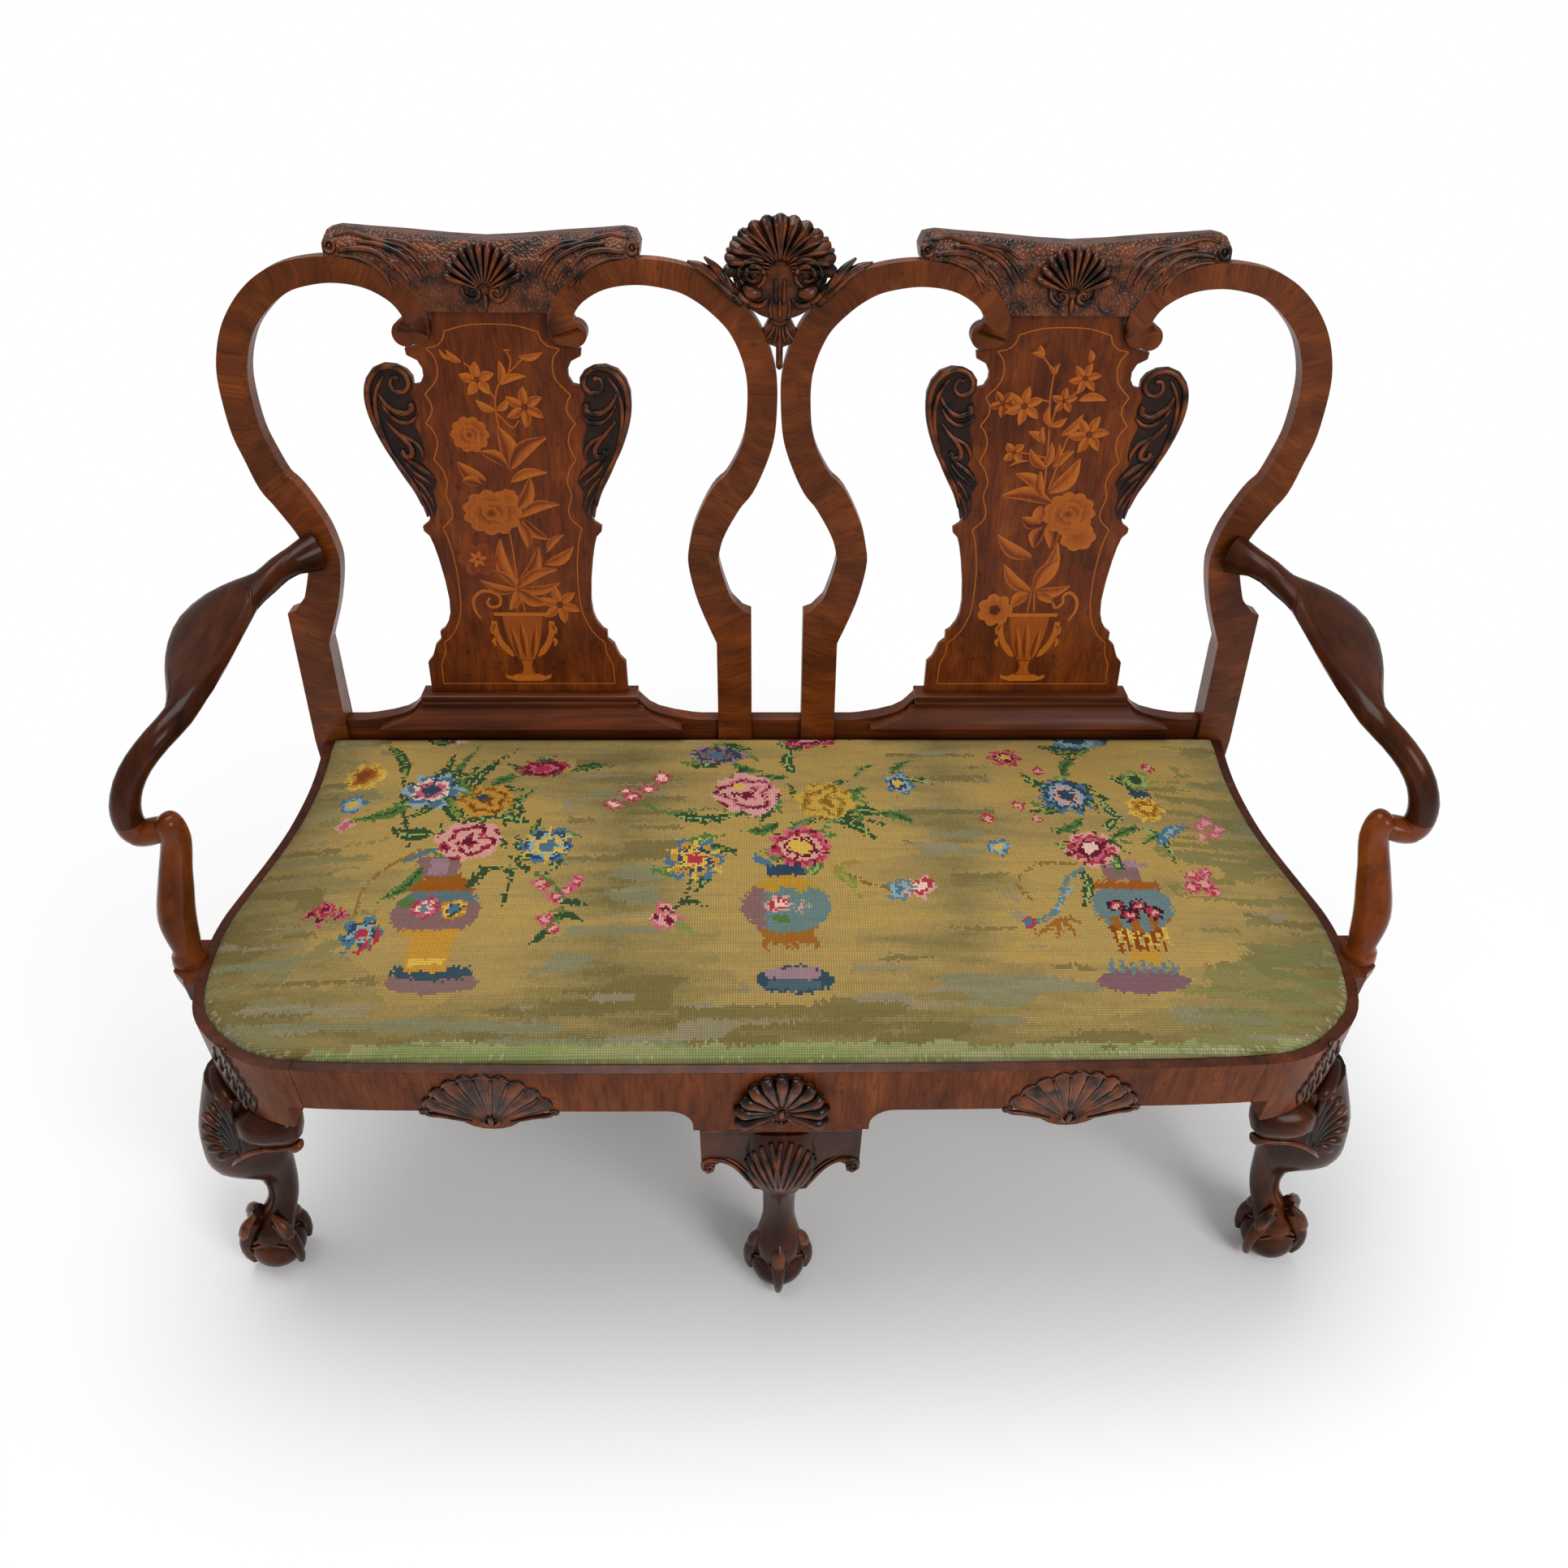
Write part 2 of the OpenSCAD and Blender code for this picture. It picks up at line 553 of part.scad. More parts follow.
// Fluted shell: a fan of round lobes round its centre, the lobes' edge falling to a flat back.
module fan(r, squeeze, lobes, turn_shares, depth, inner = 0.12) {
    n = lobes * 4;
    from = 360 * turn_shares[0];
    to = 360 * turn_shares[1];
    loft([for (k = [n:-1:0]) let (a = from + (to - from) * k / n, w = abs(sin(45 * k)),
        q = r * (0.93 + 0.07 * w), h = depth * (0.62 + 0.38 * w))
        [for (p = [[inner * r, 0], [q, 0], [q, 0.4 * h], [0.85 * q, h], [0.45 * q, 0.8 * h],
            [inner * r, 0.55 * h]]) [p[0] * squeeze * cos(a), p[0] * sin(a), p[1]]]]);
}

shell_t = 7;
// First and last lobe of each shell, in shares of a turn.
crest_fan_shares = [0.033, 0.467];
finial_fan_shares = [-0.022, 0.522];
apron_fan_shares = [0.061, 0.439];
middle_fan_shares = [-0.083, 0.583];
crest_shell_r = 0.079 * back_l;
module crest_shell(s) {
    color("#2c1a10") on_side(s) translate([bay, 0, 0]) on_back()
        translate([0, 0.892 * back_l, 0]) fan(crest_shell_r, 0.88, 11, crest_fan_shares, shell_t);
}

// Splat: half outline from its foot up, in shares of the bay and of the back's length.
splat_shares = [[0.398, 0.08], [0.395, 0.175], [0.374, 0.187], [0.363, 0.201], [0.353, 0.215], [0.329, 0.226],
    [0.329, 0.243], [0.311, 0.249], [0.29, 0.266], [0.279, 0.284], [0.275, 0.312], [0.281, 0.354],
    [0.293, 0.397], [0.304, 0.425], [0.315, 0.443], [0.334, 0.453], [0.336, 0.462], [0.311, 0.471],
    [0.302, 0.482], [0.307, 0.496], [0.318, 0.517], [0.353, 0.56], [0.402, 0.601], [0.437, 0.637],
    [0.461, 0.668], [0.472, 0.696], [0.472, 0.718], [0.458, 0.739], [0.43, 0.756], [0.388, 0.764],
    [0.346, 0.762], [0.311, 0.753], [0.294, 0.741], [0.293, 0.727], [0.269, 0.73], [0.255, 0.743],
    [0.255, 0.756], [0.269, 0.77], [0.304, 0.779], [0.307, 0.791], [0.258, 0.796], [0.21, 0.82],
    [0.2, 0.84], [0.2, 0.856]];
splat_foot = shoe_h;
module splat_tongue(t) {
    translate([0, t, -splat_back - splat_t / 2])
        cube([0.36 * bay, 1.2 * tenon_l, 0.7 * splat_t], center = true);
}
module splat(s) {
    color("chocolate") on_side(s) translate([bay, 0, 0]) on_back() {
        slab(splat_back, splat_t) difference() {
            intersection() {
                polygon(mirrored_on(scaled(splat_shares, bay, back_l)));
                translate([-bay, splat_foot]) square([2 * bay, crest_foot - splat_foot]);
            }
            both_hoops();
        }
        for (t = [splat_foot, crest_foot]) splat_tongue(t);
    }
}

// Shoe: moulded outline, depth in shares of its flare and height in shares of its own height.
seat_step = 0.66 * shoe_h;
shoe_shares = [[1, 0.37], [0.93, 0.43], [0.64, 0.54], [0.21, 0.67], [0, 0.72], [0, 0.77], [0.22, 0.8],
    [0.22, 0.86], [0, 0.88], [0, 0.91], [0.15, 0.93], [0.15, 0.98], [0, 1]];
shoe_end_shares = [[0, 1], [0, 0.78], [0.1, 0.75], [0.17, 0.66], [0.31, 0.57], [0.47, 0.52], [0.77, 0.43],
    [1, 0.37]];
shoe_sweep = 55;
upstand_back = 6;
upstand_t = 20;
module shoe_outline() {
    polygon(mirrored_on([for (q = reversed(shoe_end_shares))
        [shoe_half_w + q[0] * shoe_sweep, q[1] * shoe_h]]));
}
module shoe(s) {
    color("saddlebrown") on_side(s) translate([bay, 0, 0]) on_back() difference() {
        intersection() {
            rotate([90, 0, 90]) translate([0, 0, -bay]) linear_extrude(2 * bay)
                polygon(concat([for (q = shoe_shares) [q[1] * shoe_h, q[0] * shoe_flare]],
                    [[shoe_h, -upstand_back - upstand_t], [seat_step, -upstand_back - upstand_t],
                    [seat_step, -upstand_back], [shoe_shares[0][1] * shoe_h, -upstand_back]]));
            slab(-2 * shoe_flare, 3 * post_t) shoe_outline();
        }
        splat_tongue(splat_foot);
    }
}

// Upstands close the back between the posts. Beside a shoe they sweep up to its cap.
sweep_shares = [[0, 1], [0.08, 0.78], [0.17, 0.55], [0.32, 0.34], [0.58, 0.16], [0.85, 0.04], [1, 0]];
sweep_l = 78;
module upstand_outline() {
    half = post_u - post_w / 2;
    polygon(mirrored_on(concat([[half, 0], [half, upstand_h]],
        reversed([for (q = sweep_shares) [shoe_half_w + q[0] * sweep_l,
            upstand_h + q[1] * (0.9 * shoe_h - upstand_h)]]), [[shoe_half_w, seat_step]])));
}
module upstand(s) {
    color("saddlebrown") on_side(s) translate([bay, 0, 0]) on_back()
        slab(upstand_back, upstand_t) difference() {
            upstand_outline();
            intersection() {
                shoe_outline();
                translate([-bay, seat_step]) square([2 * bay, shoe_h]);
            }
        }
}
module upstand_middle() {
    half = bay - post_u - post_w / 2;
    color("saddlebrown") placed() on_back() slab(upstand_back, upstand_t)
        translate([-half, 0]) square([2 * half, upstand_h]);
}

// Finial: a shell and two volutes in the fork between the backs, with a pendant below.
finial_place = 0.928 * back_l;
finial_r = 0.09 * back_l;
finial_t = 16;
finial_shares = [[0, 1.08], [0.62, 1.06], [0.97, 1], [0.84, 0.985], [0.6, 0.965], [0.3, 0.93]];
module fork() {
    for (s = [0, 1]) mirror([s, 0]) translate([bay, 0]) both_hoops();
}
module finial_shell() {
    color("#2c1a10") placed() on_back() translate([0, finial_place, 0])
        fan(finial_r, 1.08, 13, finial_fan_shares, 1.7 * shell_t, 0.2);
}
module finial_outline() {
    translate([0, finial_place]) circle(0.9 * finial_r);
    for (m = [-1, 1]) translate([m * 0.52 * finial_r, finial_place - 0.05 * finial_r])
        circle(0.3 * finial_r);
    translate([-0.6 * finial_r, finial_place - 0.72 * finial_r]) square([1.2 * finial_r, finial_r]);
}
module finial_base() {
    color("#2c1a10") placed() on_back() slab(0, finial_t) difference() {
        finial_outline();
        fork();
    }
}

// Pendant: a bell on a stem, and a thin tail, turned round the fork's middle line.
pendant_shares = [[0, 0.76], [0.012, 0.765], [0.012, 0.8], [0.07, 0.811], [0.06, 0.826], [0.035, 0.85],
    [0.045, 0.86], [0, 0.87]];
module finial_pendant() {
    color("#2c1a10") placed() on_back() slab(over, finial_t - 2 * over) difference() {
        polygon(mirrored_on([for (q = reversed(pendant_shares)) [q[0] * bay, q[1] * back_l]]));
        fork();
        finial_outline();
    }
}

// Arms: x in shares of the bay, y of the seat's depth, z of the arm's rise, then half width and thickness
// in shares of the arm's radius. They start on the stile.
arm_rise = 0.418 * back_l * cos(rake);
arm_start = [1.745 * bay, seat_d + 0.418 * back_l * sin(rake), seat_h + arm_rise];
arm_shares = [[1.81, 1.041, 0.998, 0.95, 0.98], [1.848, 1.006, 0.996, 0.9, 0.9],
    [1.881, 0.959, 0.99, 0.98, 0.85], [1.926, 0.924, 0.985, 1.55, 0.8], [1.971, 0.884, 0.98, 2.08, 0.74],
    [1.997, 0.822, 0.976, 2.38, 0.7], [1.997, 0.753, 0.972, 2.3, 0.7], [1.98, 0.665, 0.97, 1.9, 0.72],
    [1.962, 0.577, 0.968, 1.27, 0.8], [1.962, 0.513, 0.958, 0.87, 0.85],
    [2.008, 0.458, 0.928, 0.82, 0.82], [2.063, 0.425, 0.865, 0.82, 0.82],
    [2.106, 0.405, 0.785, 0.85, 0.85], [2.134, 0.395, 0.695, 0.88, 0.88],
    [2.142, 0.392, 0.63, 0.88, 0.88], [2.142, 0.392, 0.6, 0.88, 0.88]];
// The arm meets its support on a level scarf in the crook. The support is three lofts: the bend, the bridge
// across to the shoulder, and the upright that rises from the block to the shoulder.
scarf_share = 0.617;
bend_shares = [[2.142, 0.392, 0.65, 0.88, 0.88], [2.142, 0.392, 0.61, 0.88, 0.88],
    [2.137, 0.392, 0.575, 0.88, 0.88], [2.122, 0.392, 0.545, 0.8, 0.8], [2.105, 0.392, 0.53, 0.5, 0.5]];
bridge_shares = [[2.148, 0.392, 0.555, 0.5, 0.5], [2.14, 0.392, 0.553, 0.8, 0.8],
    [2.11, 0.392, 0.55, 0.86, 0.84], [2.07, 0.392, 0.562, 0.88, 0.82], [2.03, 0.392, 0.58, 0.75, 0.7],
    [2.005, 0.392, 0.59, 0.45, 0.4]];
upright_shares = [[2.03, 0.392, 0.643, 0.2, 0.2], [2.026, 0.392, 0.634, 0.58, 0.58],
    [2.02, 0.392, 0.614, 0.8, 0.8], [2.013, 0.392, 0.577, 0.87, 0.87], [2.011, 0.39, 0.52, 0.88, 0.88],
    [2.019, 0.381, 0.46, 0.91, 0.91], [2.03, 0.368, 0.395, 0.96, 0.96], [2.041, 0.352, 0.313, 1.05, 1.04],
    [2.049, 0.338, 0.25, 1.1, 1.1], [2.053, 0.326, 0.19, 1.12, 1.1], [2.048, 0.315, 0.14, 1.05, 1.05],
    [2.04, 0.305, 0.09, 0.93, 0.95], [2.036, 0.298, 0.052, 0.85, 0.86], [2.038, 0.296, 0.03, 1, 1],
    [2.038, 0.296, 0.015, 1.04, 1.04],
    [2.038, 0.296, 0.001, 1.09, 1.09]];
function arm_rows(t) = smooth([for (r = t) [r[0] * bay, r[1] * seat_d, seat_h + r[2] * arm_rise, r[3] * arm_r,
    r[4] * arm_r]], 2);
arm_first = concat(arm_start, [1.28 * arm_r, 1.42 * arm_r]);
arm_foot = [last(upright_shares)[0] * bay, last(upright_shares)[1] * seat_d];
scarf_z = seat_h + scarf_share * arm_rise;
module arm_tenon() {
    translate(arm_start) rotate([rake, 0, 0]) cube([tenon_t, 1.5 * hoop_t, 2 * tenon_t], center = true);
}
module arm(s) {
    color("sienna") on_side(s) {
        difference() {
            loft(tube_rings(concat([arm_first], arm_rows(arm_shares)), [0, 0, 1]));
            translate([2 * bay, 0, scarf_z - arm_rise]) cube([bay, seat_d / 2, arm_rise]);
            translate([bay, 0, 0]) post_body(0);
        }
        arm_tenon();
    }
}
module support_tenon() {
    translate([arm_foot[0], arm_foot[1], seat_h - tenon_l]) cylinder(r = 0.55 * arm_r, h = 1.5 * tenon_l);
}
module arm_support(s) {
    color("sienna") on_side(s) {
        difference() {
            loft(tube_rings(arm_rows(bend_shares), [0, 1, 0]));
            translate([2 * bay, 0, scarf_z]) cube([bay, seat_d / 2, arm_rise]);
        }
        loft(tube_rings(arm_rows(bridge_shares), [0, 0, 1]));
        loft(tube_rings(arm_rows(upright_shares), [0, 1, 0]));
        support_tenon();
    }
}

// Blocks outside the side rails carry the arm supports.
block_shares = [[0, 1], [1, 1], [1, 0.85], [0.12, 0.02], [0, 0]];
module arm_blocks() {
    r = arm_foot;
    color("saddlebrown") placed() for (s = [0, 1]) mirror([s, 0, 0]) difference() {
        intersection() {
            translate([0, r[1] + 1.6 * arm_r, 0]) rotate([90, 0, 0]) linear_extrude(3.6 * arm_r)
                polygon([for (q = block_shares) [1.9 * bay + q[0] * (block_out + 0.09 * bay),
                    rail_z + q[1] * rail_h]]);
            translate([0, 0, rail_z]) linear_extrude(rail_h) polygon([[1.9 * bay, 0],
                [1.99 * bay + 0.5 * block_out, r[1] - 1.7 * arm_r], [1.99 * bay + block_out, r[1] - arm_r],
                [1.99 * bay + block_out, r[1] + arm_r], [1.9 * bay, r[1] + 4 * arm_r]]);
        }
        translate([0, 0, rail_z - over]) linear_extrude(rail_h + 2 * over) polygon(concat(
            part(plan, 0, len(plan) - 1), [[0, seat_d]]));
        support_tenon();
        screw_bores();
    }
}

// Screws from inside each side rail into the block under the arm support.
screw_r = 2.6;
screw_l = 45;
module screw_shape(r) {
    rotate([0, 90, 0]) cylinder(r = r, h = screw_l);
    rotate([0, 90, 0]) cylinder(r = 2 * r, h = r);
}
module screw_bores(clear = 0) {
    p = arm_foot;
    for (m = [-1, 1]) translate([p[0] - 1.4 * rail_t, p[1] + m * 0.6 * arm_r, rail_z + 0.28 * rail_h])
        screw_shape(screw_r + clear);
}
module arm_screws() {
    color("gray") placed() for (s = [0, 1]) mirror([s, 0, 0]) screw_bores();
}

// Shells on the front rail.
module apron_shell(s) {
    color("#2c1a10") on_side(s) difference() {
        translate([0.968 * bay, 0.008 * seat_d, rail_z - 0.7 * lobe_fall]) rotate([90, 0, 0])
            fan(0.28 * bay, 0.855, 9, apron_fan_shares, shell_t);
        rail_prism(0, corner_from, rail_z - drop_h);
    }
}
module apron_shell_middle() {
    color("#2c1a10") placed() translate([0, 0, rail_z]) rotate([90, 0, 0])
        fan(0.21 * bay, 0.7, 11, middle_fan_shares, shell_t);
}

// Drop-in seat: the outline of its frame, inside the lip.
slip_in = lip_w + slip_gap + cover_t + slip_gap / 2;
slip_z = ledge_z + slip_gap / 2;
// The gap behind it lets the seat tilt on its back edge when its front is lifted.
back_gap = 3.75 * slip_gap;
back_in = back_gap + slip_gap / 2 + cover_t;
function seat_loop(d, b) = let (s = shifted(plan, d),
    h = [for (i = [0:2:len(plan) - 1 - steps / 2]) [max(s[i][0], 0), min(s[i][1], seat_d - b)]],
    e = [last(h)[0], seat_d - b])
    concat(h, [e], [for (q = reversed(part(concat(h, [e]), 1, len(h)))) [-q[0], q[1]]]);

// A flat sheet of the seat's outline, d inside its sides and b inside its back.
module seat_sheet(d, b) {
    intersection() {
        polygon(seat_loop(d, 0));
        translate([-3 * bay, 0]) square([6 * bay, seat_d - b]);
    }
}
module slip_board(x0, x1, y0, y1) {
    color("peru") placed() translate([0, 0, slip_z]) linear_extrude(slip_t) intersection() {
        seat_sheet(slip_in, back_in);
        translate([x0, y0]) square([x1 - x0, y1 - y0]);
    }
}
slip_front_y = slip_in + slip_w;
slip_back_y = seat_d - back_in - slip_w;
slip_side_x = 1.8 * bay - slip_w;
module slip_rail_front() { slip_board(-2.2 * bay, 2.2 * bay, 0, slip_front_y); }
module slip_rail_back() { slip_board(-2.2 * bay, 2.2 * bay, slip_back_y, seat_d); }
module slip_rail_left() { slip_board(-2.2 * bay, -slip_side_x, slip_front_y, slip_back_y); }
module slip_rail_right() { slip_board(slip_side_x, 2.2 * bay, slip_front_y, slip_back_y); }
module slip_crossbar() {
    color("peru") placed() translate([-slip_w / 2, slip_front_y, slip_z])
        cube([slip_w, slip_back_y - slip_front_y, slip_t]);
}

// Webbing straps run over the frame from front to back and across.
web_t = 1.6;
web_w = 50;
web_z = slip_z + slip_t;
module webbing() {
    n = floor(0.75 * bay / web_pitch);
    color("tan") placed() translate([0, 0, web_z]) linear_extrude(web_t) {
        for (k = [-2 * n:2 * n]) translate([k * web_pitch - web_w / 2, 0.8 * slip_front_y])
            square([web_w, slip_back_y - 0.6 * slip_front_y]);
        for (y = [0.27, 0.45, 0.63, 0.8]) translate([-1.72 * bay, y * seat_d]) square([3.44 * bay, web_w]);
    }
}
sheet_t = 1;
module hessian() {
    color("wheat") placed() translate([0, 0, web_z + web_t]) linear_extrude(sheet_t)
        seat_sheet(slip_in + 14 * sheet_t, back_in + 14 * sheet_t);
}
module dust_cover() {
    color("dimgray") placed() translate([0, 0, slip_z - sheet_t]) linear_extrude(sheet_t)
        seat_sheet(slip_in + 0.6 * slip_w, back_in + 0.6 * slip_w);
}

// The cushion's crown: how high a ring stands for its share of the way out.
ring_shares = [0.02, 0.3, 0.55, 0.75, 0.88, 0.95, 0.985, 1];
function crown(q) = crown_h * pow(1 - pow(q, 3), 0.75);
function ring_at(loop, q, z) = let (c = [0, 0.51 * seat_d])
    [for (p = loop) [c[0] + (p[0] - c[0]) * q, c[1] + (p[1] - c[1]) * q, z]];
rim_z = seat_h + 0.18 * rebate_d;
module needlework_cover() {
    out = seat_loop(lip_w + slip_gap, back_gap);
    inn = seat_loop(lip_w + slip_gap + cover_t, back_gap + cover_t);
    color("darkkhaki") placed() loft(concat(
        [for (q = ring_shares) ring_at(inn, q, rim_z + slip_gap + crown(q))], [ring_at(inn, 1, slip_z)],
        [ring_at(out, 1, slip_z), ring_at(out, 1, rim_z + 0.6 * cover_t)],
        [for (q = reversed(ring_shares)) ring_at(out, q * 0.996, rim_z + slip_gap + cover_t + crown(q))]));
}
module stuffing() {
    inn = seat_loop(slip_in + slip_gap, back_in + slip_gap);
    base = web_z + web_t + sheet_t;
    color("ivory") placed() loft(concat([ring_at(inn, 0.02, base), ring_at(inn, 0.945, base)],
        [for (q = reversed(ring_shares)) ring_at(inn, 0.945 * q, rim_z + crown(0.945 * q) - slip_gap)]));
}

// Tacks hold the cover's hem under the drop-in frame.
tack_r = 3;
tack_pitch = 60;
module cover_tacks() {
    n = floor(1.5 * bay / tack_pitch);
    color("black") placed() translate([0, 0, slip_z - sheet_t]) for (k = [-n:n], y = [slip_in, slip_back_y])
        translate([k * tack_pitch, y + slip_w / 2, 0]) cylinder(r = tack_r, h = sheet_t, $fn = 16);
}

front_rail();
corner_piece(-1);  // corner_left
corner_piece(1);  // corner_right
side_rail(-1);  // side_rail_left
side_rail(1);  // side_rail_right
back_rail();
middle_rail();
glue_blocks();
front_leg(-1);  // front_leg_left
front_leg(1);  // front_leg_right
front_leg_middle();
knee_brackets(-1);  // knee_brackets_left
knee_brackets(1);  // knee_brackets_right
back_post(-1);  // back_post_left
back_post(1);  // back_post_right
back_leg_middle();
inner_post(-1);  // inner_post_left
inner_post(1);  // inner_post_right
hoop(-1, 0);  // hoop_outer_left
hoop(1, 0);  // hoop_outer_right
hoop(-1, 1);  // hoop_inner_left
hoop(1, 1);  // hoop_inner_right
hoop_dowels();
crest(-1);  // crest_left
crest(1);  // crest_right
crest_shell(-1);  // crest_shell_left
crest_shell(1);  // crest_shell_right
splat(-1);  // splat_left
splat(1);  // splat_right
shoe(-1);  // shoe_left
shoe(1);  // shoe_right
upstand(-1);  // upstand_left
upstand_middle();
upstand(1);  // upstand_right
finial_shell();
finial_base();
finial_pendant();
arm(-1);  // arm_left
arm(1);  // arm_right
arm_support(-1);  // arm_support_left
arm_support(1);  // arm_support_right
arm_blocks();
arm_screws();
apron_shell(-1);  // apron_shell_left
apron_shell_middle();
apron_shell(1);  // apron_shell_right
slip_rail_front();
slip_rail_back();
slip_rail_left();
slip_rail_right();
slip_crossbar();
webbing();
hessian();
stuffing();
needlework_cover();
cover_tacks();
dust_cover();
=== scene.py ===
"""Looks of a walnut chair-back settee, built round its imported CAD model. Tables are in millimetres."""

import math

import bmesh
import bpy
import numpy as np
from mathutils import Matrix, Vector
from mathutils.bvhtree import BVHTree


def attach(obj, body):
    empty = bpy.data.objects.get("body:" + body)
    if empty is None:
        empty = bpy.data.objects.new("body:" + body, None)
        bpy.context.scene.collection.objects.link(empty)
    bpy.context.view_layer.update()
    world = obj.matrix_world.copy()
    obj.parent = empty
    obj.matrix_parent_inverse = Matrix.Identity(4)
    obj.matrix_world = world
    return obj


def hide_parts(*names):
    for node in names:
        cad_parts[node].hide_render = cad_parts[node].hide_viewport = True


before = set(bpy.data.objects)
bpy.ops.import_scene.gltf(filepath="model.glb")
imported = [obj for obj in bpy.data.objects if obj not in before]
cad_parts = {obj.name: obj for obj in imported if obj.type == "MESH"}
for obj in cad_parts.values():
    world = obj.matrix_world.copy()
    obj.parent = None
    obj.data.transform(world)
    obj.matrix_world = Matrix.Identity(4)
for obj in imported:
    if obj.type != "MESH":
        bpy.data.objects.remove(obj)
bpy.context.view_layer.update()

# Seat rails, corner pieces and blocks.
# Walnut veneer laid crosswise on beech, so that its grain stands upright on every rail. It is
# french polished and waxed: clear, warm and glossy, with dirt, old polish and painted shade dark
# in the corners.
FRAME_BODY = "settee_frame"
# The settee's own millimetres start at the front rail's face, and the frame's origin lies this far behind it.
Y_MIDDLE = 312.8
SHARP = math.radians(38)


def linear(hex_colour):
    """A colour as Blender's shaders take it, from the sRGB value that the eye reads."""
    parts = [int(hex_colour[i:i + 2], 16) / 255 for i in (1, 3, 5)]
    return tuple(c / 12.92 if c <= 0.04045 else ((c + 0.055) / 1.055) ** 2.4 for c in parts) + (1.0,)


def add(tree, kind, inputs=None, **settings):
    """Adds a node. A socket given as an input is linked, and any other value is set."""
    made = tree.nodes.new(kind)
    for key, value in settings.items():
        setattr(made, key, value)
    for key, value in (inputs or {}).items():
        if isinstance(value, bpy.types.NodeSocket):
            tree.links.new(value, made.inputs[key])
        else:
            made.inputs[key].default_value = value
    return made


def maths(tree, operation, *values):
    """What a Math node makes of one or two values."""
    return add(tree, "ShaderNodeMath", dict(enumerate(values)), operation=operation).outputs[0]


def remap(tree, value, least, most, low, high, **settings):
    """A value's run from least to most, as a run from low to high."""
    inputs = {"Value": value, "From Min": least, "From Max": most, "To Min": low, "To Max": high}
    return add(tree, "ShaderNodeMapRange", inputs, **settings).outputs["Result"]


def noise(tree, where, scale, detail=2.0, **more):
    """Soft noise, from 0 to 1."""
    inputs = {"Vector": where, "Scale": scale, "Detail": detail, **more}
    return add(tree, "ShaderNodeTexNoise", inputs).outputs["Fac"]


def on_the_piece(tree):
    """A place in the piece's own frame."""
    return add(tree, "ShaderNodeTexCoord").outputs["Object"]


def hollows(tree, distance):
    """1 in the open, and less where other surfaces lie nearer than the distance."""
    return add(tree, "ShaderNodeAmbientOcclusion", {"Distance": distance}, samples=4).outputs["AO"]


def painted(tree, principled, colour, shade):
    """Makes the base colour of a colour times a shade."""
    final = add(tree, "ShaderNodeVectorMath", {0: colour, "Scale": shade}, operation="SCALE")
    tree.links.new(final.outputs["Vector"], principled.inputs["Base Color"])


def embossed(tree, principled, height, strength, depth):
    """Relief too small to build."""
    bump = add(tree, "ShaderNodeBump", {"Height": height, "Strength": strength, "Distance": depth})
    tree.links.new(bump.outputs["Normal"], principled.inputs["Normal"])


def ramp(tree, factor, stops):
    """A colour ramp through (place, hex colour) stops."""
    made = add(tree, "ShaderNodeValToRGB", {"Fac": factor})
    elements = made.color_ramp.elements
    while len(elements) < len(stops):
        elements.new(0.5)
    for element, (place, colour) in zip(elements, stops):
        element.position, element.color = place, linear(colour)
    return made.outputs["Color"]


def new_material(name, **shader):
    """A material with a Principled shader whose own sockets hold the values that don't vary."""
    material = bpy.data.materials.new(name)
    material.use_nodes = True
    principled = material.node_tree.nodes["Principled BSDF"]
    for key, value in shader.items():
        principled.inputs[key.replace("_", " ")].default_value = value
    return material, material.node_tree, principled


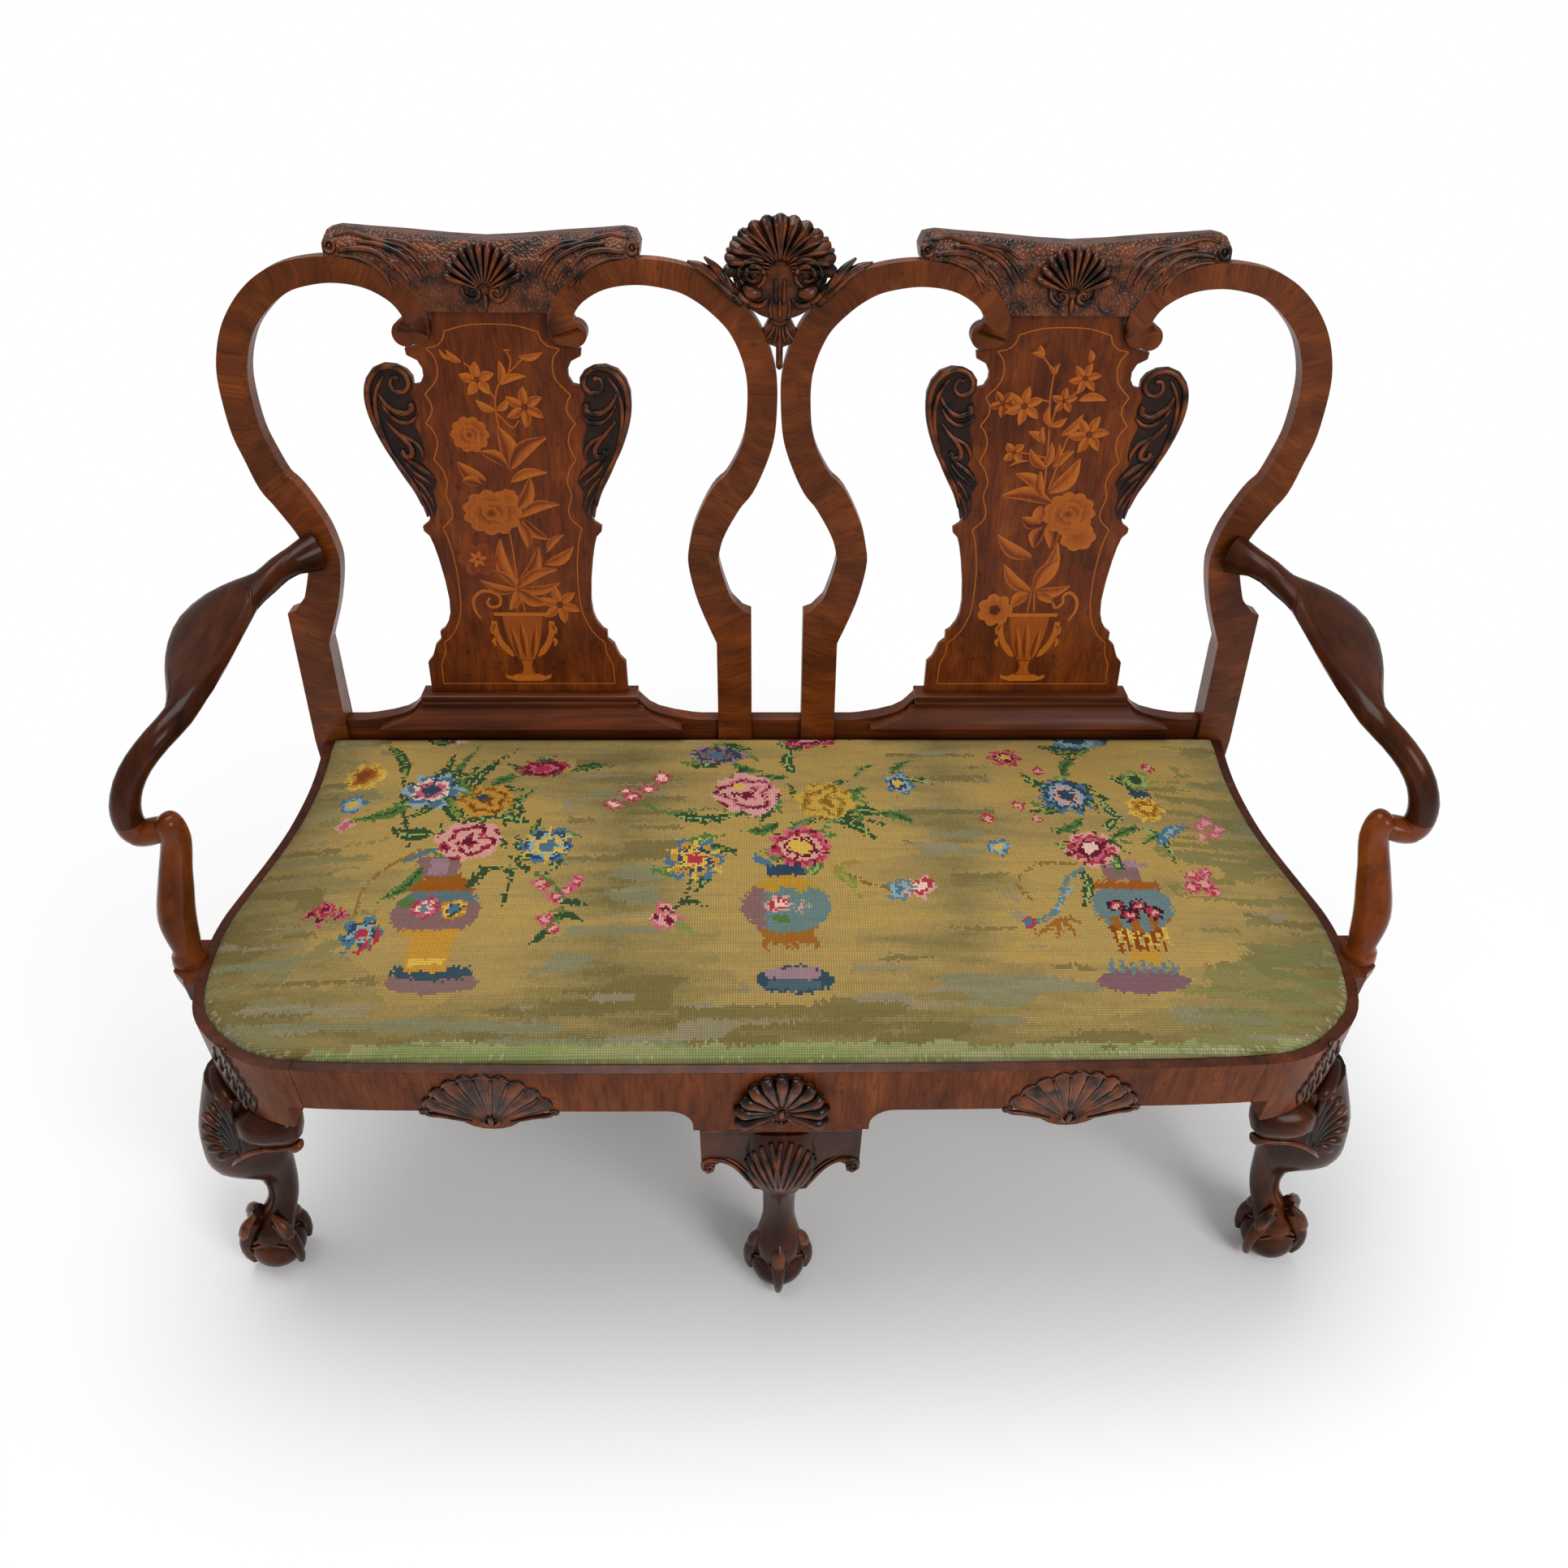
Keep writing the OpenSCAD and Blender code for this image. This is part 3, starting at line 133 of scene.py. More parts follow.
def walnut(name, dark, middle, light, figure_mm, source="Object", knots=0.0, bands_mm=0.0, rough=(0.3, 0.42),
           shine=0.2, coat=0.05):
    """Polished walnut. figure_mm is how long the figure runs along each axis before it changes."""
    material, tree, principled = new_material(name, Coat_Weight=coat, Coat_Roughness=0.1,
                                              Specular_IOR_Level=shine)
    if source == "UV":
        where = add(tree, "ShaderNodeUVMap", uv_map="along").outputs["UV"]
    else:
        where = on_the_piece(tree)
    scale = tuple(1000 / step for step in figure_mm)
    figure = add(tree, "ShaderNodeMapping", {"Vector": where, "Scale": scale}).outputs["Vector"]
    streak = noise(tree, figure, 1.0, 5.0, Roughness=0.6, Distortion=0.5)
    colour = ramp(tree, streak, [(0.28, dark), (0.5, middle), (0.72, light)])
    # Cloudy patches a hand wide, where the log's colour changes.
    cloud = noise(tree, where, 9.0)
    shade = remap(tree, cloud, 0.3, 0.7, 0.72, 1.18)
    if bands_mm:
        # Each strip of crossbanding is cut from another place in the sheet, so its tone steps.
        along = add(tree, "ShaderNodeSeparateXYZ", {"Vector": where}).outputs["X"]
        strip = maths(tree, "MULTIPLY", along, 1000 / bands_mm)
        number = maths(tree, "FLOOR", strip)
        chance = add(tree, "ShaderNodeTexWhiteNoise", {"W": number}, noise_dimensions="1D").outputs["Value"]
        seam = remap(tree, maths(tree, "FRACT", strip), 0, 0.012, 0.72, 1)
        step = maths(tree, "MULTIPLY", remap(tree, chance, 0, 1, 0.86, 1.12), seam)
        shade = maths(tree, "MULTIPLY", shade, step)
    # Pores are 0.3 mm wide in the wood and are drawn near 1 mm, so that they show. They are much
    # finer than the figure across the grain, and less so along it, where the figure runs far.
    across_grain, along_grain, cross_scale = 9, 2.5, 30
    fine = tuple(value * (across_grain if value > cross_scale else along_grain) for value in scale)
    pores = add(tree, "ShaderNodeMapping", {"Vector": where, "Scale": fine}).outputs["Vector"]
    pore = remap(tree, noise(tree, pores, 1.0, 3.0), 0.36, 0.56, 0.72, 1.06)
    shade = maths(tree, "MULTIPLY", shade, pore)
    if knots:
        cell = add(tree, "ShaderNodeTexVoronoi", {"Vector": where, "Scale": 55.0}).outputs["Distance"]
        shade = maths(tree, "MULTIPLY", shade, remap(tree, cell, 0.05, 0.2, 1 - knots, 1))
    # Painted shade: the wood darkens where other surfaces lie near, in corners and joints, where dirt and old
    # polish also gather.
    shade_and_dirt = remap(tree, hollows(tree, 0.012), 0.25, 0.8, 0.35, 1)
    painted(tree, principled, colour, maths(tree, "MULTIPLY", shade, shade_and_dirt))
    tree.links.new(remap(tree, cloud, 0, 1, *rough), principled.inputs["Roughness"])
    embossed(tree, principled, pore, 0.12, 0.0004)
    return material


def finish_mesh(name, bm, finish, body=FRAME_BODY, stands_for=(), edge_mm=0.0):
    """Makes a piece of a bmesh, gives it its finish and rides it on its body."""
    mesh = bpy.data.meshes.new(name)
    bm.to_mesh(mesh)
    bm.free()
    if "custom_normal" in mesh.attributes:
        mesh.attributes.remove(mesh.attributes["custom_normal"])
    mesh.materials.clear()
    mesh.materials.append(finish)
    piece = bpy.data.objects.new(name, mesh)
    bpy.context.scene.collection.objects.link(piece)
    if edge_mm:
        bevel = piece.modifiers.new("worn_edges", "BEVEL")
        bevel.width, bevel.segments, bevel.limit_method = edge_mm / 1000, 2, "ANGLE"
        bevel.angle_limit, bevel.harden_normals = SHARP, True
    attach(piece, body)
    if stands_for:
        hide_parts(*stands_for)
    return piece


def dressed(names, finish, body=FRAME_BODY, edge_mm=0.9, line=None, top=None):
    """A smooth copy of each CAD node, with worn edges. line gives an (along, across) pair for a point,
    for the banding, and top is another finish for the faces that look up."""
    for name in names:
        bm = bmesh.new()
        bm.from_mesh(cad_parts[name].data)
        bmesh.ops.remove_doubles(bm, verts=bm.verts, dist=2e-5)
        bmesh.ops.dissolve_limit(bm, angle_limit=math.radians(0.3), verts=bm.verts, edges=bm.edges)
        for layer in list(bm.loops.layers.uv.values()):
            bm.loops.layers.uv.remove(layer)
        if line:
            bands = bm.loops.layers.uv.new("along")
            places = {v.index: line(v.co * 1000) for v in bm.verts}
            for face in bm.faces:
                for loop in face.loops:
                    loop[bands].uv = places[loop.vert.index]
        for face in bm.faces:
            face.smooth = True
        if not edge_mm:
            for seam in bm.edges:
                seam.smooth = seam.calc_face_angle(0) < SHARP
        piece = finish_mesh(name + "_finished", bm, finish, body, [name], edge_mm)
        if top:
            piece.data.materials.append(top)
            for face in piece.data.polygons:
                face.material_index = int(face.normal.z > 0.9)


rail_walnut = walnut("walnut_crossbanded_rails", "#54260D", "#693213", "#7F421B", (30, 30, 90), knots=0.4,
                     shine=0.06)
solid_walnut = walnut("walnut_solid_polished", "#3E1A0A", "#55260F", "#6C3314", (26, 190, 90),
                      rough=(0.24, 0.36))
lip_walnut = walnut("walnut_rail_lip", "#2E1308", "#451E0C", "#5A2A12", (26, 26, 130))
dressed(["front_rail", "corner_left", "corner_right", "side_rail_left", "side_rail_right", "back_rail"],
        rail_walnut, top=lip_walnut)
dressed(["arm_blocks"], solid_walnut)

# Stiles, hoops and posts of the two chair backs.
# Walnut with a crossbanded face: short strips of veneer whose grain crosses the member, so the
# figure follows each bend. Their edges are rounded over, and a dark line shows at every joint.
BAY = 310.0
RAKE = math.radians(9)
BACK_FOOT = Vector((0, 511 - Y_MIDDLE, 440))
hoop_course = [
    (257, -470), (257, 140), (234, 199), (223, 243), (224, 265), (232, 290), (250, 325), (265, 343),
    (281, 373), (289, 400), (291, 431), (291, 460), (286, 483), (278, 505), (267, 523), (250, 540),
    (232, 554), (210, 565), (184, 570), (161, 572), (136, 570), (114, 563), (95, 551), (82, 538), (77, 525),
    (80, 511),
]
course = np.array(hoop_course, float)
course_steps = np.diff(course, axis=0)
course_lengths = np.hypot(*course_steps.T)
course_starts = np.concatenate([[0], np.cumsum(course_lengths)[:-1]])


def up_slope(point):
    """How far up the sloping back a point is, in millimetres from the seat."""
    return (point.y - BACK_FOOT.y) * math.sin(RAKE) + (point.z - BACK_FOOT.z) * math.cos(RAKE)


def along_member(point):
    """Place along a stile and its hoop, and across them, in metres."""
    across = abs(abs(point.x) - BAY)
    place = np.array([across, up_slope(point)])
    gone = place - course[:-1]
    share = np.clip((gone * course_steps).sum(1) / course_lengths ** 2, 0, 1)
    off = gone - share[:, None] * course_steps
    nearest = int(np.argmin((off ** 2).sum(1)))
    side = course_steps[nearest, 0] * off[nearest, 1] - course_steps[nearest, 1] * off[nearest, 0]
    away = math.copysign(math.hypot(*off[nearest]), side)
    # Every member's strips come from another part of the sheet of veneer.
    shift = 2000 * (point.x > 0) + 500 * (abs(point.x) > BAY)
    return (course_starts[nearest] + share[nearest] * course_lengths[nearest] + shift) / 1000, away / 1000


band_walnut = walnut("walnut_crossbanded_backs", "#542508", "#67300C", "#7E3F12", (26, 90, 40), "UV",
                     bands_mm=74, knots=0.4)
dressed(["back_post_left", "back_post_right", "inner_post_left", "inner_post_right", "hoop_outer_left",
         "hoop_outer_right", "hoop_inner_left", "hoop_inner_right"], band_walnut,
        line=along_member, edge_mm=1.6)
shoe_walnut = walnut("walnut_long_grain", "#3E1A08", "#56260C", "#6C3312", (200, 30, 14))
dressed(["shoe_left", "shoe_right", "upstand_left", "upstand_middle", "upstand_right"], shoe_walnut,
        edge_mm=0.7)
dressed(["back_leg_middle"], solid_walnut)

# Splats, with their marquetry and their carved ears.
# Each splat is a plain walnut panel, its veneer laid upright. A vase of flowers is let into it in
# paler woods, scorched in hot sand for the shading, inside a thin line of box. The ears at its
# sides are carved in low relief: a volute at the top, with leaves that curl off the rim below it.
def back_plane(side, depth=0.0):
    """Matrix from (across, up the slope, forward) in millimetres to metres, on one chair back or, for side 0,
    between them."""
    up = Vector((0, math.sin(RAKE), math.cos(RAKE)))
    out = Vector((0, -math.cos(RAKE), math.sin(RAKE)))
    turn = Matrix((Vector((1, 0, 0)), up, out)).transposed().to_4x4()
    foot = (BACK_FOOT + out * depth + Vector((side * BAY, 0, 0))) / 1000
    return Matrix.Translation(foot) @ turn @ Matrix.Scale(0.001, 4)


def curve_through(points, steps=4):
    """A smooth run of points through the given ones."""
    rows = np.array(points, float)
    ends = np.vstack([rows[0] * 2 - rows[1], rows, rows[-1] * 2 - rows[-2]])
    made = []
    for i in range(len(rows) - 1):
        a, b, c, d = ends[i:i + 4]
        for t in np.linspace(0, 1, steps, endpoint=False):
            bend, twist = 2 * a - 5 * b + 4 * c - d, 3 * b - a - 3 * c + d
            made.append(0.5 * (2 * b + (c - a) * t + bend * t * t + twist * t ** 3))
    made.append(rows[-1])
    return np.array(made)


def on_side(side, strokes):
    """Strokes drawn for the right side, or the same turned over to the left for side -1."""
    return [[(side * row[0], *row[1:]) for row in stroke] for stroke in strokes]


def mirrored(strokes):
    """The strokes, and the same turned over to the other side."""
    return strokes + on_side(-1, strokes)


def ground_under(nodes):
    """A tree for finding the surface of CAD nodes."""
    bm = bmesh.new()
    for name in nodes:
        bm.from_mesh(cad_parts[name].data)
    tree = BVHTree.FromBMesh(bm)
    bm.free()
    return tree


THINNEST_RIDGE = 0.25
FEEL_MM = 90


def carve(name, strokes, place, nodes, finish, lift=0.45, fallback=None):
    """Rounded gouge-cut ridges laid on a surface. A stroke is rows of across, up and half width, in
    millimetres, or across, up, forward and half width where it leaves the surface. lift is how much of a
    ridge stands proud."""
    under = ground_under(nodes) if nodes else None
    out = (place.to_3x3() @ Vector((0, 0, 1))).normalized()
    curve = bpy.data.curves.new(name, "CURVE")
    curve.dimensions, curve.bevel_depth, curve.bevel_resolution, curve.use_fill_caps = "3D", 1.0, 2, True
    for stroke in strokes:
        free = len(stroke[0]) == 4
        rows = []
        last = fallback
        for row in curve_through(stroke):
            half = max(row[-1], THINNEST_RIDGE)
            if free:
                spot = place @ Vector(row[:3])
            else:
                spot = place @ Vector((row[0], row[1], 0.0))
                if under:
                    hit = under.ray_cast(spot + out * FEEL_MM / 1000, -out, 2 * FEEL_MM / 1000)[0]
                    if hit:
                        last = (hit - spot).dot(out)
                    elif last is None:
                        continue
                    spot = hit or spot + out * last
                spot = spot + out * (2 * lift - 1) * half / 1000
            rows.append((spot, half / 1000))
        if len(rows) < 2:
            continue
        spline = curve.splines.new("POLY")
        spline.points.add(len(rows) - 1)
        for point, (spot, half) in zip(spline.points, rows):
            point.co, point.radius = (*spot, 1), half
    holder = bpy.data.objects.new(name, curve)
    bpy.context.scene.collection.objects.link(holder)
    bm = bmesh.new()
    bm.from_mesh(holder.evaluated_get(bpy.context.evaluated_depsgraph_get()).to_mesh())
    bpy.data.objects.remove(holder)
    bmesh.ops.remove_doubles(bm, verts=bm.verts, dist=1e-6)
    bmesh.ops.recalc_face_normals(bm, faces=bm.faces)
    worn = bm.verts.layers.float.new("worn")
    for vert in bm.verts:
        vert[worn] = max(0.0, vert.normal.dot(out))
    for face in bm.faces:
        face.smooth = True
    return finish_mesh(name, bm, finish)


def carved_finish(name, hollow, wood, rubbed, punch_mm=0.0, ribs=True):
    """Carved walnut: black polish, dust and painted shade in the hollows, brown wood, and ridges rubbed to a
    warm red.
    """
    material, tree, principled = new_material(name, Roughness=0.27, Specular_IOR_Level=0.24, Coat_Weight=0.06,
                                              Coat_Roughness=0.12)
    where = on_the_piece(tree)
    cloud = noise(tree, where, 55.0, 4.0)
    if ribs:
        worn = add(tree, "ShaderNodeAttribute", attribute_name="worn").outputs["Fac"]
        high = maths(tree, "POWER", worn, 3.5)
    else:
        convex = add(tree, "ShaderNodeNewGeometry").outputs["Pointiness"]
        high = remap(tree, convex, 0.505, 0.56, 0, 1)
    high = maths(tree, "MULTIPLY", high, remap(tree, cloud, 0.36, 0.66, 0, 1))
    base = ramp(tree, cloud, [(0.3, hollow), (0.62, wood)])
    # A mix of colours has its factor in socket 0, its colours in 6 and 7 and its result in 2.
    colour = add(tree, "ShaderNodeMix", {0: high, 6: base, 7: linear(rubbed)}, data_type="RGBA")
    # Painted shade darkens the hollows of the carving, where black polish and dust also lie.
    painted(tree, principled, colour.outputs[2], remap(tree, hollows(tree, 0.006), 0.2, 0.85, 0.16, 1))
    height, strength = cloud, 0.25
    if punch_mm:
        # A matting punch leaves round dots; the real ones are 2 mm, drawn near 3 mm.
        height = add(tree, "ShaderNodeTexVoronoi",
                     {"Vector": where, "Scale": 1000 / punch_mm}).outputs["Distance"]
        strength = 1.0
    embossed(tree, principled, height, strength, 0.0016)
    return material


# Ridges catch the cloth that waxes them. The ground between is left to darken, with painted shade
# in its hollows too, and a matting punch dulls it on the crests.
ridge_walnut = carved_finish("walnut_carved_ridges", "#120A08", "#2C160C", "#8E4619")
plain_carved = carved_finish("walnut_carved_solid", "#160B07", "#2E180D", "#793A15", ribs=False)
punched = carved_finish("walnut_punched_ground", "#1B0D07", "#3A1D0E", "#7A3E1C", punch_mm=3.4, ribs=False)
splat_walnut = walnut("walnut_splat_veneer", "#4E2006", "#682D0A", "#824010", (30, 60, 70), knots=0.5,
                      rough=(0.26, 0.36))
dressed(["splat_left", "splat_right"], splat_walnut, edge_mm=0.5)

SPLAT_FACE = -10.0
EAR_GROUND_MM = 2.0
ear_strokes = [
    [(96, 299, 1.4), (99, 315, 2.2), (105, 335, 2.8), (116, 355, 3.2), (128, 377, 3.5), (137, 400, 3.7),
     (142, 420, 3.9), (143, 438, 4), (139, 454, 4), (129, 466, 4), (117, 471, 3.9), (105, 469, 3.7),
     (97, 461, 3.5), (96, 451, 3.3), (102, 444, 3.1), (111, 444, 2.9), (116, 451, 2.7), (113, 459, 2.6),
     (106, 459, 3.4)],
    [(100, 312, 1.2), (106, 330, 1.8), (115, 348, 2.3), (124, 368, 2.8), (131, 390, 3.1), (135, 410, 3.3),
     (136, 428, 3.3), (133, 443, 3.1), (127, 454, 2.8), (122, 461, 1.6)],
    [(131, 442, 2.2), (124, 430, 3.2), (114, 422, 3.7), (104, 420, 4), (96, 425, 4.3), (97, 432, 4)],
    [(129, 430, 1.8), (121, 417, 2.8), (110, 410, 3.2), (99, 411, 3), (91, 418, 1.6)],
    [(128, 412, 2.2), (119, 401, 3.1), (109, 390, 3.6), (103, 380, 4), (104, 372, 4.3), (111, 371, 4),
     (114, 379, 3.4)],
    [(122, 402, 1.8), (110, 394, 2.8), (98, 387, 3), (92, 377, 2.8), (92, 368, 1.4)],
    [(118, 376, 2), (108, 367, 3.1), (96, 358, 3.7), (87, 350, 3), (82, 343, 1)],
    [(114, 366, 1.8), (104, 353, 2.9), (93, 344, 2.6), (86, 336, 0.9)],
    [(106, 346, 1.8), (97, 336, 2.7), (90, 323, 2.4), (86, 310, 0.8)],
    [(102, 331, 1.6), (95, 319, 2.2), (91, 306, 1.4), (91, 298, 0.7)],
]
ear_ground = [
    (93, 297), (99, 312), (105, 332), (118, 354), (132, 378), (141, 400), (146, 422), (146, 442), (141, 457),
    (131, 468), (118, 473), (106, 471), (97, 465), (92, 457), (92, 449), (96, 440), (93, 432), (91, 420),
    (96, 406), (91, 392), (89, 378), (94, 364), (84, 350), (80, 341), (86, 330), (84, 310), (89, 299),
]


def plates(name, outline, place, thick_mm, finish):
    """Flat plates of one outline, and the same turned over, in the place's plane, their backs sunk into what
    carries them."""
    bm = bmesh.new()
    for flip in (1, -1):
        verts = [bm.verts.new((flip * x, y, 0)) for x, y in outline]
        face = bm.faces.new(verts if flip > 0 else verts[::-1])
        raised = bmesh.ops.extrude_face_region(bm, geom=[face])
        tops = [g for g in raised["geom"] if isinstance(g, bmesh.types.BMVert)]
        bmesh.ops.translate(bm, verts=tops, vec=(0, 0, thick_mm))
    bmesh.ops.recalc_face_normals(bm, faces=bm.faces)
    bmesh.ops.transform(bm, matrix=place, verts=bm.verts)
    finish_mesh(name, bm, finish)


for side, word in ((-1, "left"), (1, "right")):
    carve("ear_carving_" + word, mirrored(ear_strokes), back_plane(side, SPLAT_FACE), None, ridge_walnut,
          lift=0.62)
    plates("ear_ground_" + word, ear_ground, back_plane(side, SPLAT_FACE - EAR_GROUND_MM / 2), EAR_GROUND_MM,
           ridge_walnut)

# Box and holly, cut thin and let in flush: pale honey, with a brown shadow where hot sand has
# scorched an edge. A leaf is root, tip, half width and how far its shadowed half is scorched.
inlay, tree, principled = new_material("sand_scorched_inlay", Coat_Weight=0.05, Coat_Roughness=0.14,
                                       Roughness=0.3, Specular_IOR_Level=0.22)
tone = add(tree, "ShaderNodeAttribute", attribute_name="scorch").outputs["Fac"]
fibre = add(tree, "ShaderNodeMapping", {"Vector": on_the_piece(tree), "Scale": (500.0, 60.0, 60.0)})
fibre = remap(tree, noise(tree, fibre.outputs["Vector"], 1.0, 3.0), 0.3, 0.7, -0.09, 0.09)
tone = maths(tree, "ADD", tone, fibre)
tree.links.new(ramp(tree, tone, [(0.0, "#B8661A"), (0.3, "#A05012"), (0.6, "#763208"), (1.0, "#401603")]),
               principled.inputs["Base Color"])


def inlay_leaf(bm, tones, root, tip, half, scorch, height, bend):
    """One leaf or petal: pale on one side of its rib and scorched towards the rib on the other."""
    (x0, y0), (x1, y1) = root, tip
    dx, dy = x1 - x0, y1 - y0
    rows, steps = [], 9
    for i in range(steps + 1):
        t = i / steps
        swell = math.sin(math.pi * t ** 0.85) ** 0.8 * half if 0 < i < steps else 0.12 * half
        arc = bend * math.sin(math.pi * t)
        cx, cy = x0 + dx * t - dy * arc, y0 + dy * t + dx * arc
        norm = math.hypot(dx, dy)
        nx, ny = -dy / norm, dx / norm
        rows.append([bm.verts.new((cx + nx * swell * q, cy + ny * swell * q, height))
                     for q in (-1, -0.45, 0, 0.45, 1)])
        for vert, shade in zip(rows[-1], (0.05, 0.2, 0.55, 1.0, 0.25)):
            vert[tones] = scorch * shade + 0.25 * (1 - t) * scorch
    for a, b in zip(rows, rows[1:]):
        for i in range(4):
            bm.faces.new((a[i], a[i + 1], b[i + 1], b[i]))


PETAL_WIDTH = 0.46


def inlay_flower(bm, tones, x, y, radius, petals, turn, scorch, height):
    """A ring of petals round a small dark eye."""
    for k in range(petals):
        a = math.radians(turn + 360 * k / petals)
        root, tip = ((x + reach * math.cos(a), y + reach * math.sin(a)) for reach in (0.12 * radius, radius))
        half = PETAL_WIDTH * radius * 3 / max(petals, 4)
        inlay_leaf(bm, tones, root, tip, half, scorch, height + 0.01 * (k % 2), bend=0.05)
    inlay_disc(bm, tones, x, y, 0.16 * radius, 0.16 * radius, 0, 0, 0.9, 0.6, height + 0.03)


def inlay_disc(bm, tones, x, y, rx, ry, lobes, depth, rim, middle, height, turn=0.0):
    """A lobed disc whose tone runs from the rim to its middle."""
    count = max(16, lobes * 6)
    centre = bm.verts.new((x, y, height))
    centre[tones] = middle
    ring = []
    for k in range(count):
        a = 2 * math.pi * k / count
        r = 1 - depth + depth * abs(math.cos(lobes * a / 2 + turn))
        ring.append(bm.verts.new((x + rx * r * math.cos(a), y + ry * r * math.sin(a), height)))
        ring[-1][tones] = rim
    for k in range(count):
        bm.faces.new((centre, ring[k], ring[(k + 1) % count]))


def inlay_rose(bm, tones, x, y, rx, ry, lobes, scorch, height):
    """A full rose: lobed layers, each turned on the last, dark where one petal lies under the next."""
    for k, (share, off) in enumerate(((1, 0), (0.8, 0.13), (0.62, -0.1), (0.45, 0.08), (0.28, -0.04))):
        inlay_disc(bm, tones, x + off * rx, y + off * 0.7 * ry, rx * share, ry * share,
                   max(4, lobes - k), 0.13, 0.1 + 0.15 * scorch, 0.95 * scorch + 0.1,
                   height + 0.02 * k, turn=0.7 * k)


def inlay_strip(bm, tones, points, half, tone, height):
    """A bent line or a stem of even or changing width."""
    line = curve_through([(*p[:2], p[2] if len(p) > 2 else half) for p in points], 4)
    last = None
    for i, (x, y, w) in enumerate(line):
        ahead, behind = line[min(i + 1, len(line) - 1)], line[max(i - 1, 0)]
        dx, dy = ahead[0] - behind[0], ahead[1] - behind[1]
        norm = math.hypot(dx, dy) or 1
        pair = [bm.verts.new((x - dy / norm * w * q, y + dx / norm * w * q, height)) for q in (-1, 1)]
        for vert in pair:
            vert[tones] = tone
        if last:
            bm.faces.new((last[0], pair[0], pair[1], last[1]))
        last = pair


stringing = [
    (0, 516.5), (26, 515), (50, 508.5), (53, 500), (60, 493.5), (72, 490.5), (65, 482), (62.5, 470),
    (66, 456), (80, 440.5), (75, 431), (75, 421), (83, 408.5), (76, 399), (73.5, 385), (80, 367), (72, 355),
    (68.5, 340), (72, 325), (67.5, 309), (69, 297), (81, 284.5), (75.5, 266), (71.5, 232), (71.5, 200),
    (74, 176), (82, 155), (92, 141), (98, 136), (99.5, 122), (106, 106), (107, 78.5),
]
corners = [2, 5, 9, 12, 15, 21, 27, 30, 31]
line_runs = [stringing[a:b + 1] for a, b in zip([0] + corners, corners)] + [[(107, 78.5), (0, 78.5)]]
urn = {
    "bowl": [(0, 172), (-24, 172), (-23, 160), (-20, 142), (-15, 124), (-9, 112), (9, 112), (15, 124),
             (20, 142), (23, 160), (24, 172)],
    "stem": [(-7, 111), (-5, 104), (-6, 97), (-10, 91), (10, 91), (6, 97), (5, 104), (7, 111)],
    "foot": [(-29, 91.5), (-27, 86), (-16, 82.5), (16, 82.5), (27, 86), (29, 91.5), (20, 89), (14, 92),
             (-14, 92), (-20, 89)],
    "rim": [(-35, 176.5), (-33, 172), (33, 172), (35, 176.5)],
}
handle = [[(35, 165, 3.4), (34, 150, 3.6), (29, 136, 3.6), (21, 124, 3.8), (15, 117, 1.2)],
          [(33, 160, 1), (38, 156, 2.6), (39, 148, 1)], [(34, 143, 1), (38, 138, 2.4), (36, 131, 0.8)]]
urn_leaves = [((-8, 114), (-15, 158), 4.5), ((0, 114), (-3, 166), 5), ((8, 114), (15, 158), 4.5)]
left_leaves = [
    ((-2, 208), (-16, 271), 8.5, 0.5), ((-2, 210), (28, 261), 8.5, 0.7), ((0, 210), (48, 233), 6.5, 0.5),
    ((0, 208), (50, 216), 6, 0.55), ((-2, 206), (-45, 219), 6.5, 0.55), ((0, 205), (32, 188), 8, 0.6),
    ((-3, 205), (-14, 180), 6.5, 0.4), ((34, 240), (69, 262), 7, 0.5), ((37, 255), (59, 277), 4.5, 0.5),
    ((-3, 212), (-30, 232), 2.6, 0.7), ((8, 298), (57, 314), 7, 0.6), ((12, 297), (42, 271), 6.5, 0.8),
    ((8, 292), (16, 260), 7, 0.6), ((8, 308), (26, 346), 8, 0.7), ((4, 341), (46, 352), 6, 0.4),
    ((3, 356), (-4, 405), 10.5, 0.65), ((5, 356), (49, 393), 9, 0.75), ((2, 360), (-28, 376), 7, 0.8),
    ((-24, 342), (-54, 364), 9, 0.75), ((-30, 338), (-52, 342), 6, 0.8), ((-5, 423), (-25, 435), 4.6, 0.3),
    ((-3, 423), (11, 437), 4.2, 0.4), ((4, 452), (33, 461), 4.2, 0.3), ((3, 453), (5, 478), 4.4, 0.4),
    ((-36, 476), (-51, 489), 4, 0.35), ((27, 482), (53, 487), 4, 0.35), ((-48, 478), (-58, 490), 2.2, 0.3),
]
left_stems = [
    [(-4, 280), (-2, 250), (-1, 210)], [(-3, 400), (-4, 430), (2, 452), (16, 466), (31, 480)],
    [(-4, 436), (-13, 452), (-19, 456)], [(14, 465), (18, 478), (14, 488)], [(-22, 466), (-33, 475)],
    [(11, 489), (18, 489)], [(-3, 420), (12, 404), (20, 412)], [(-5, 178), (-3, 206)], [(4, 178), (1, 206)],
]
left_scroll = [
    (-50, 168, 1), (-56, 180, 1.6), (-56, 194, 1.8), (-46, 204, 2), (-34, 204, 2), (-24, 197, 1.8),
    (-26, 186, 1.8), (-36, 184, 1.8), (-40, 190, 1.6), (-36, 196, 1.2),
]
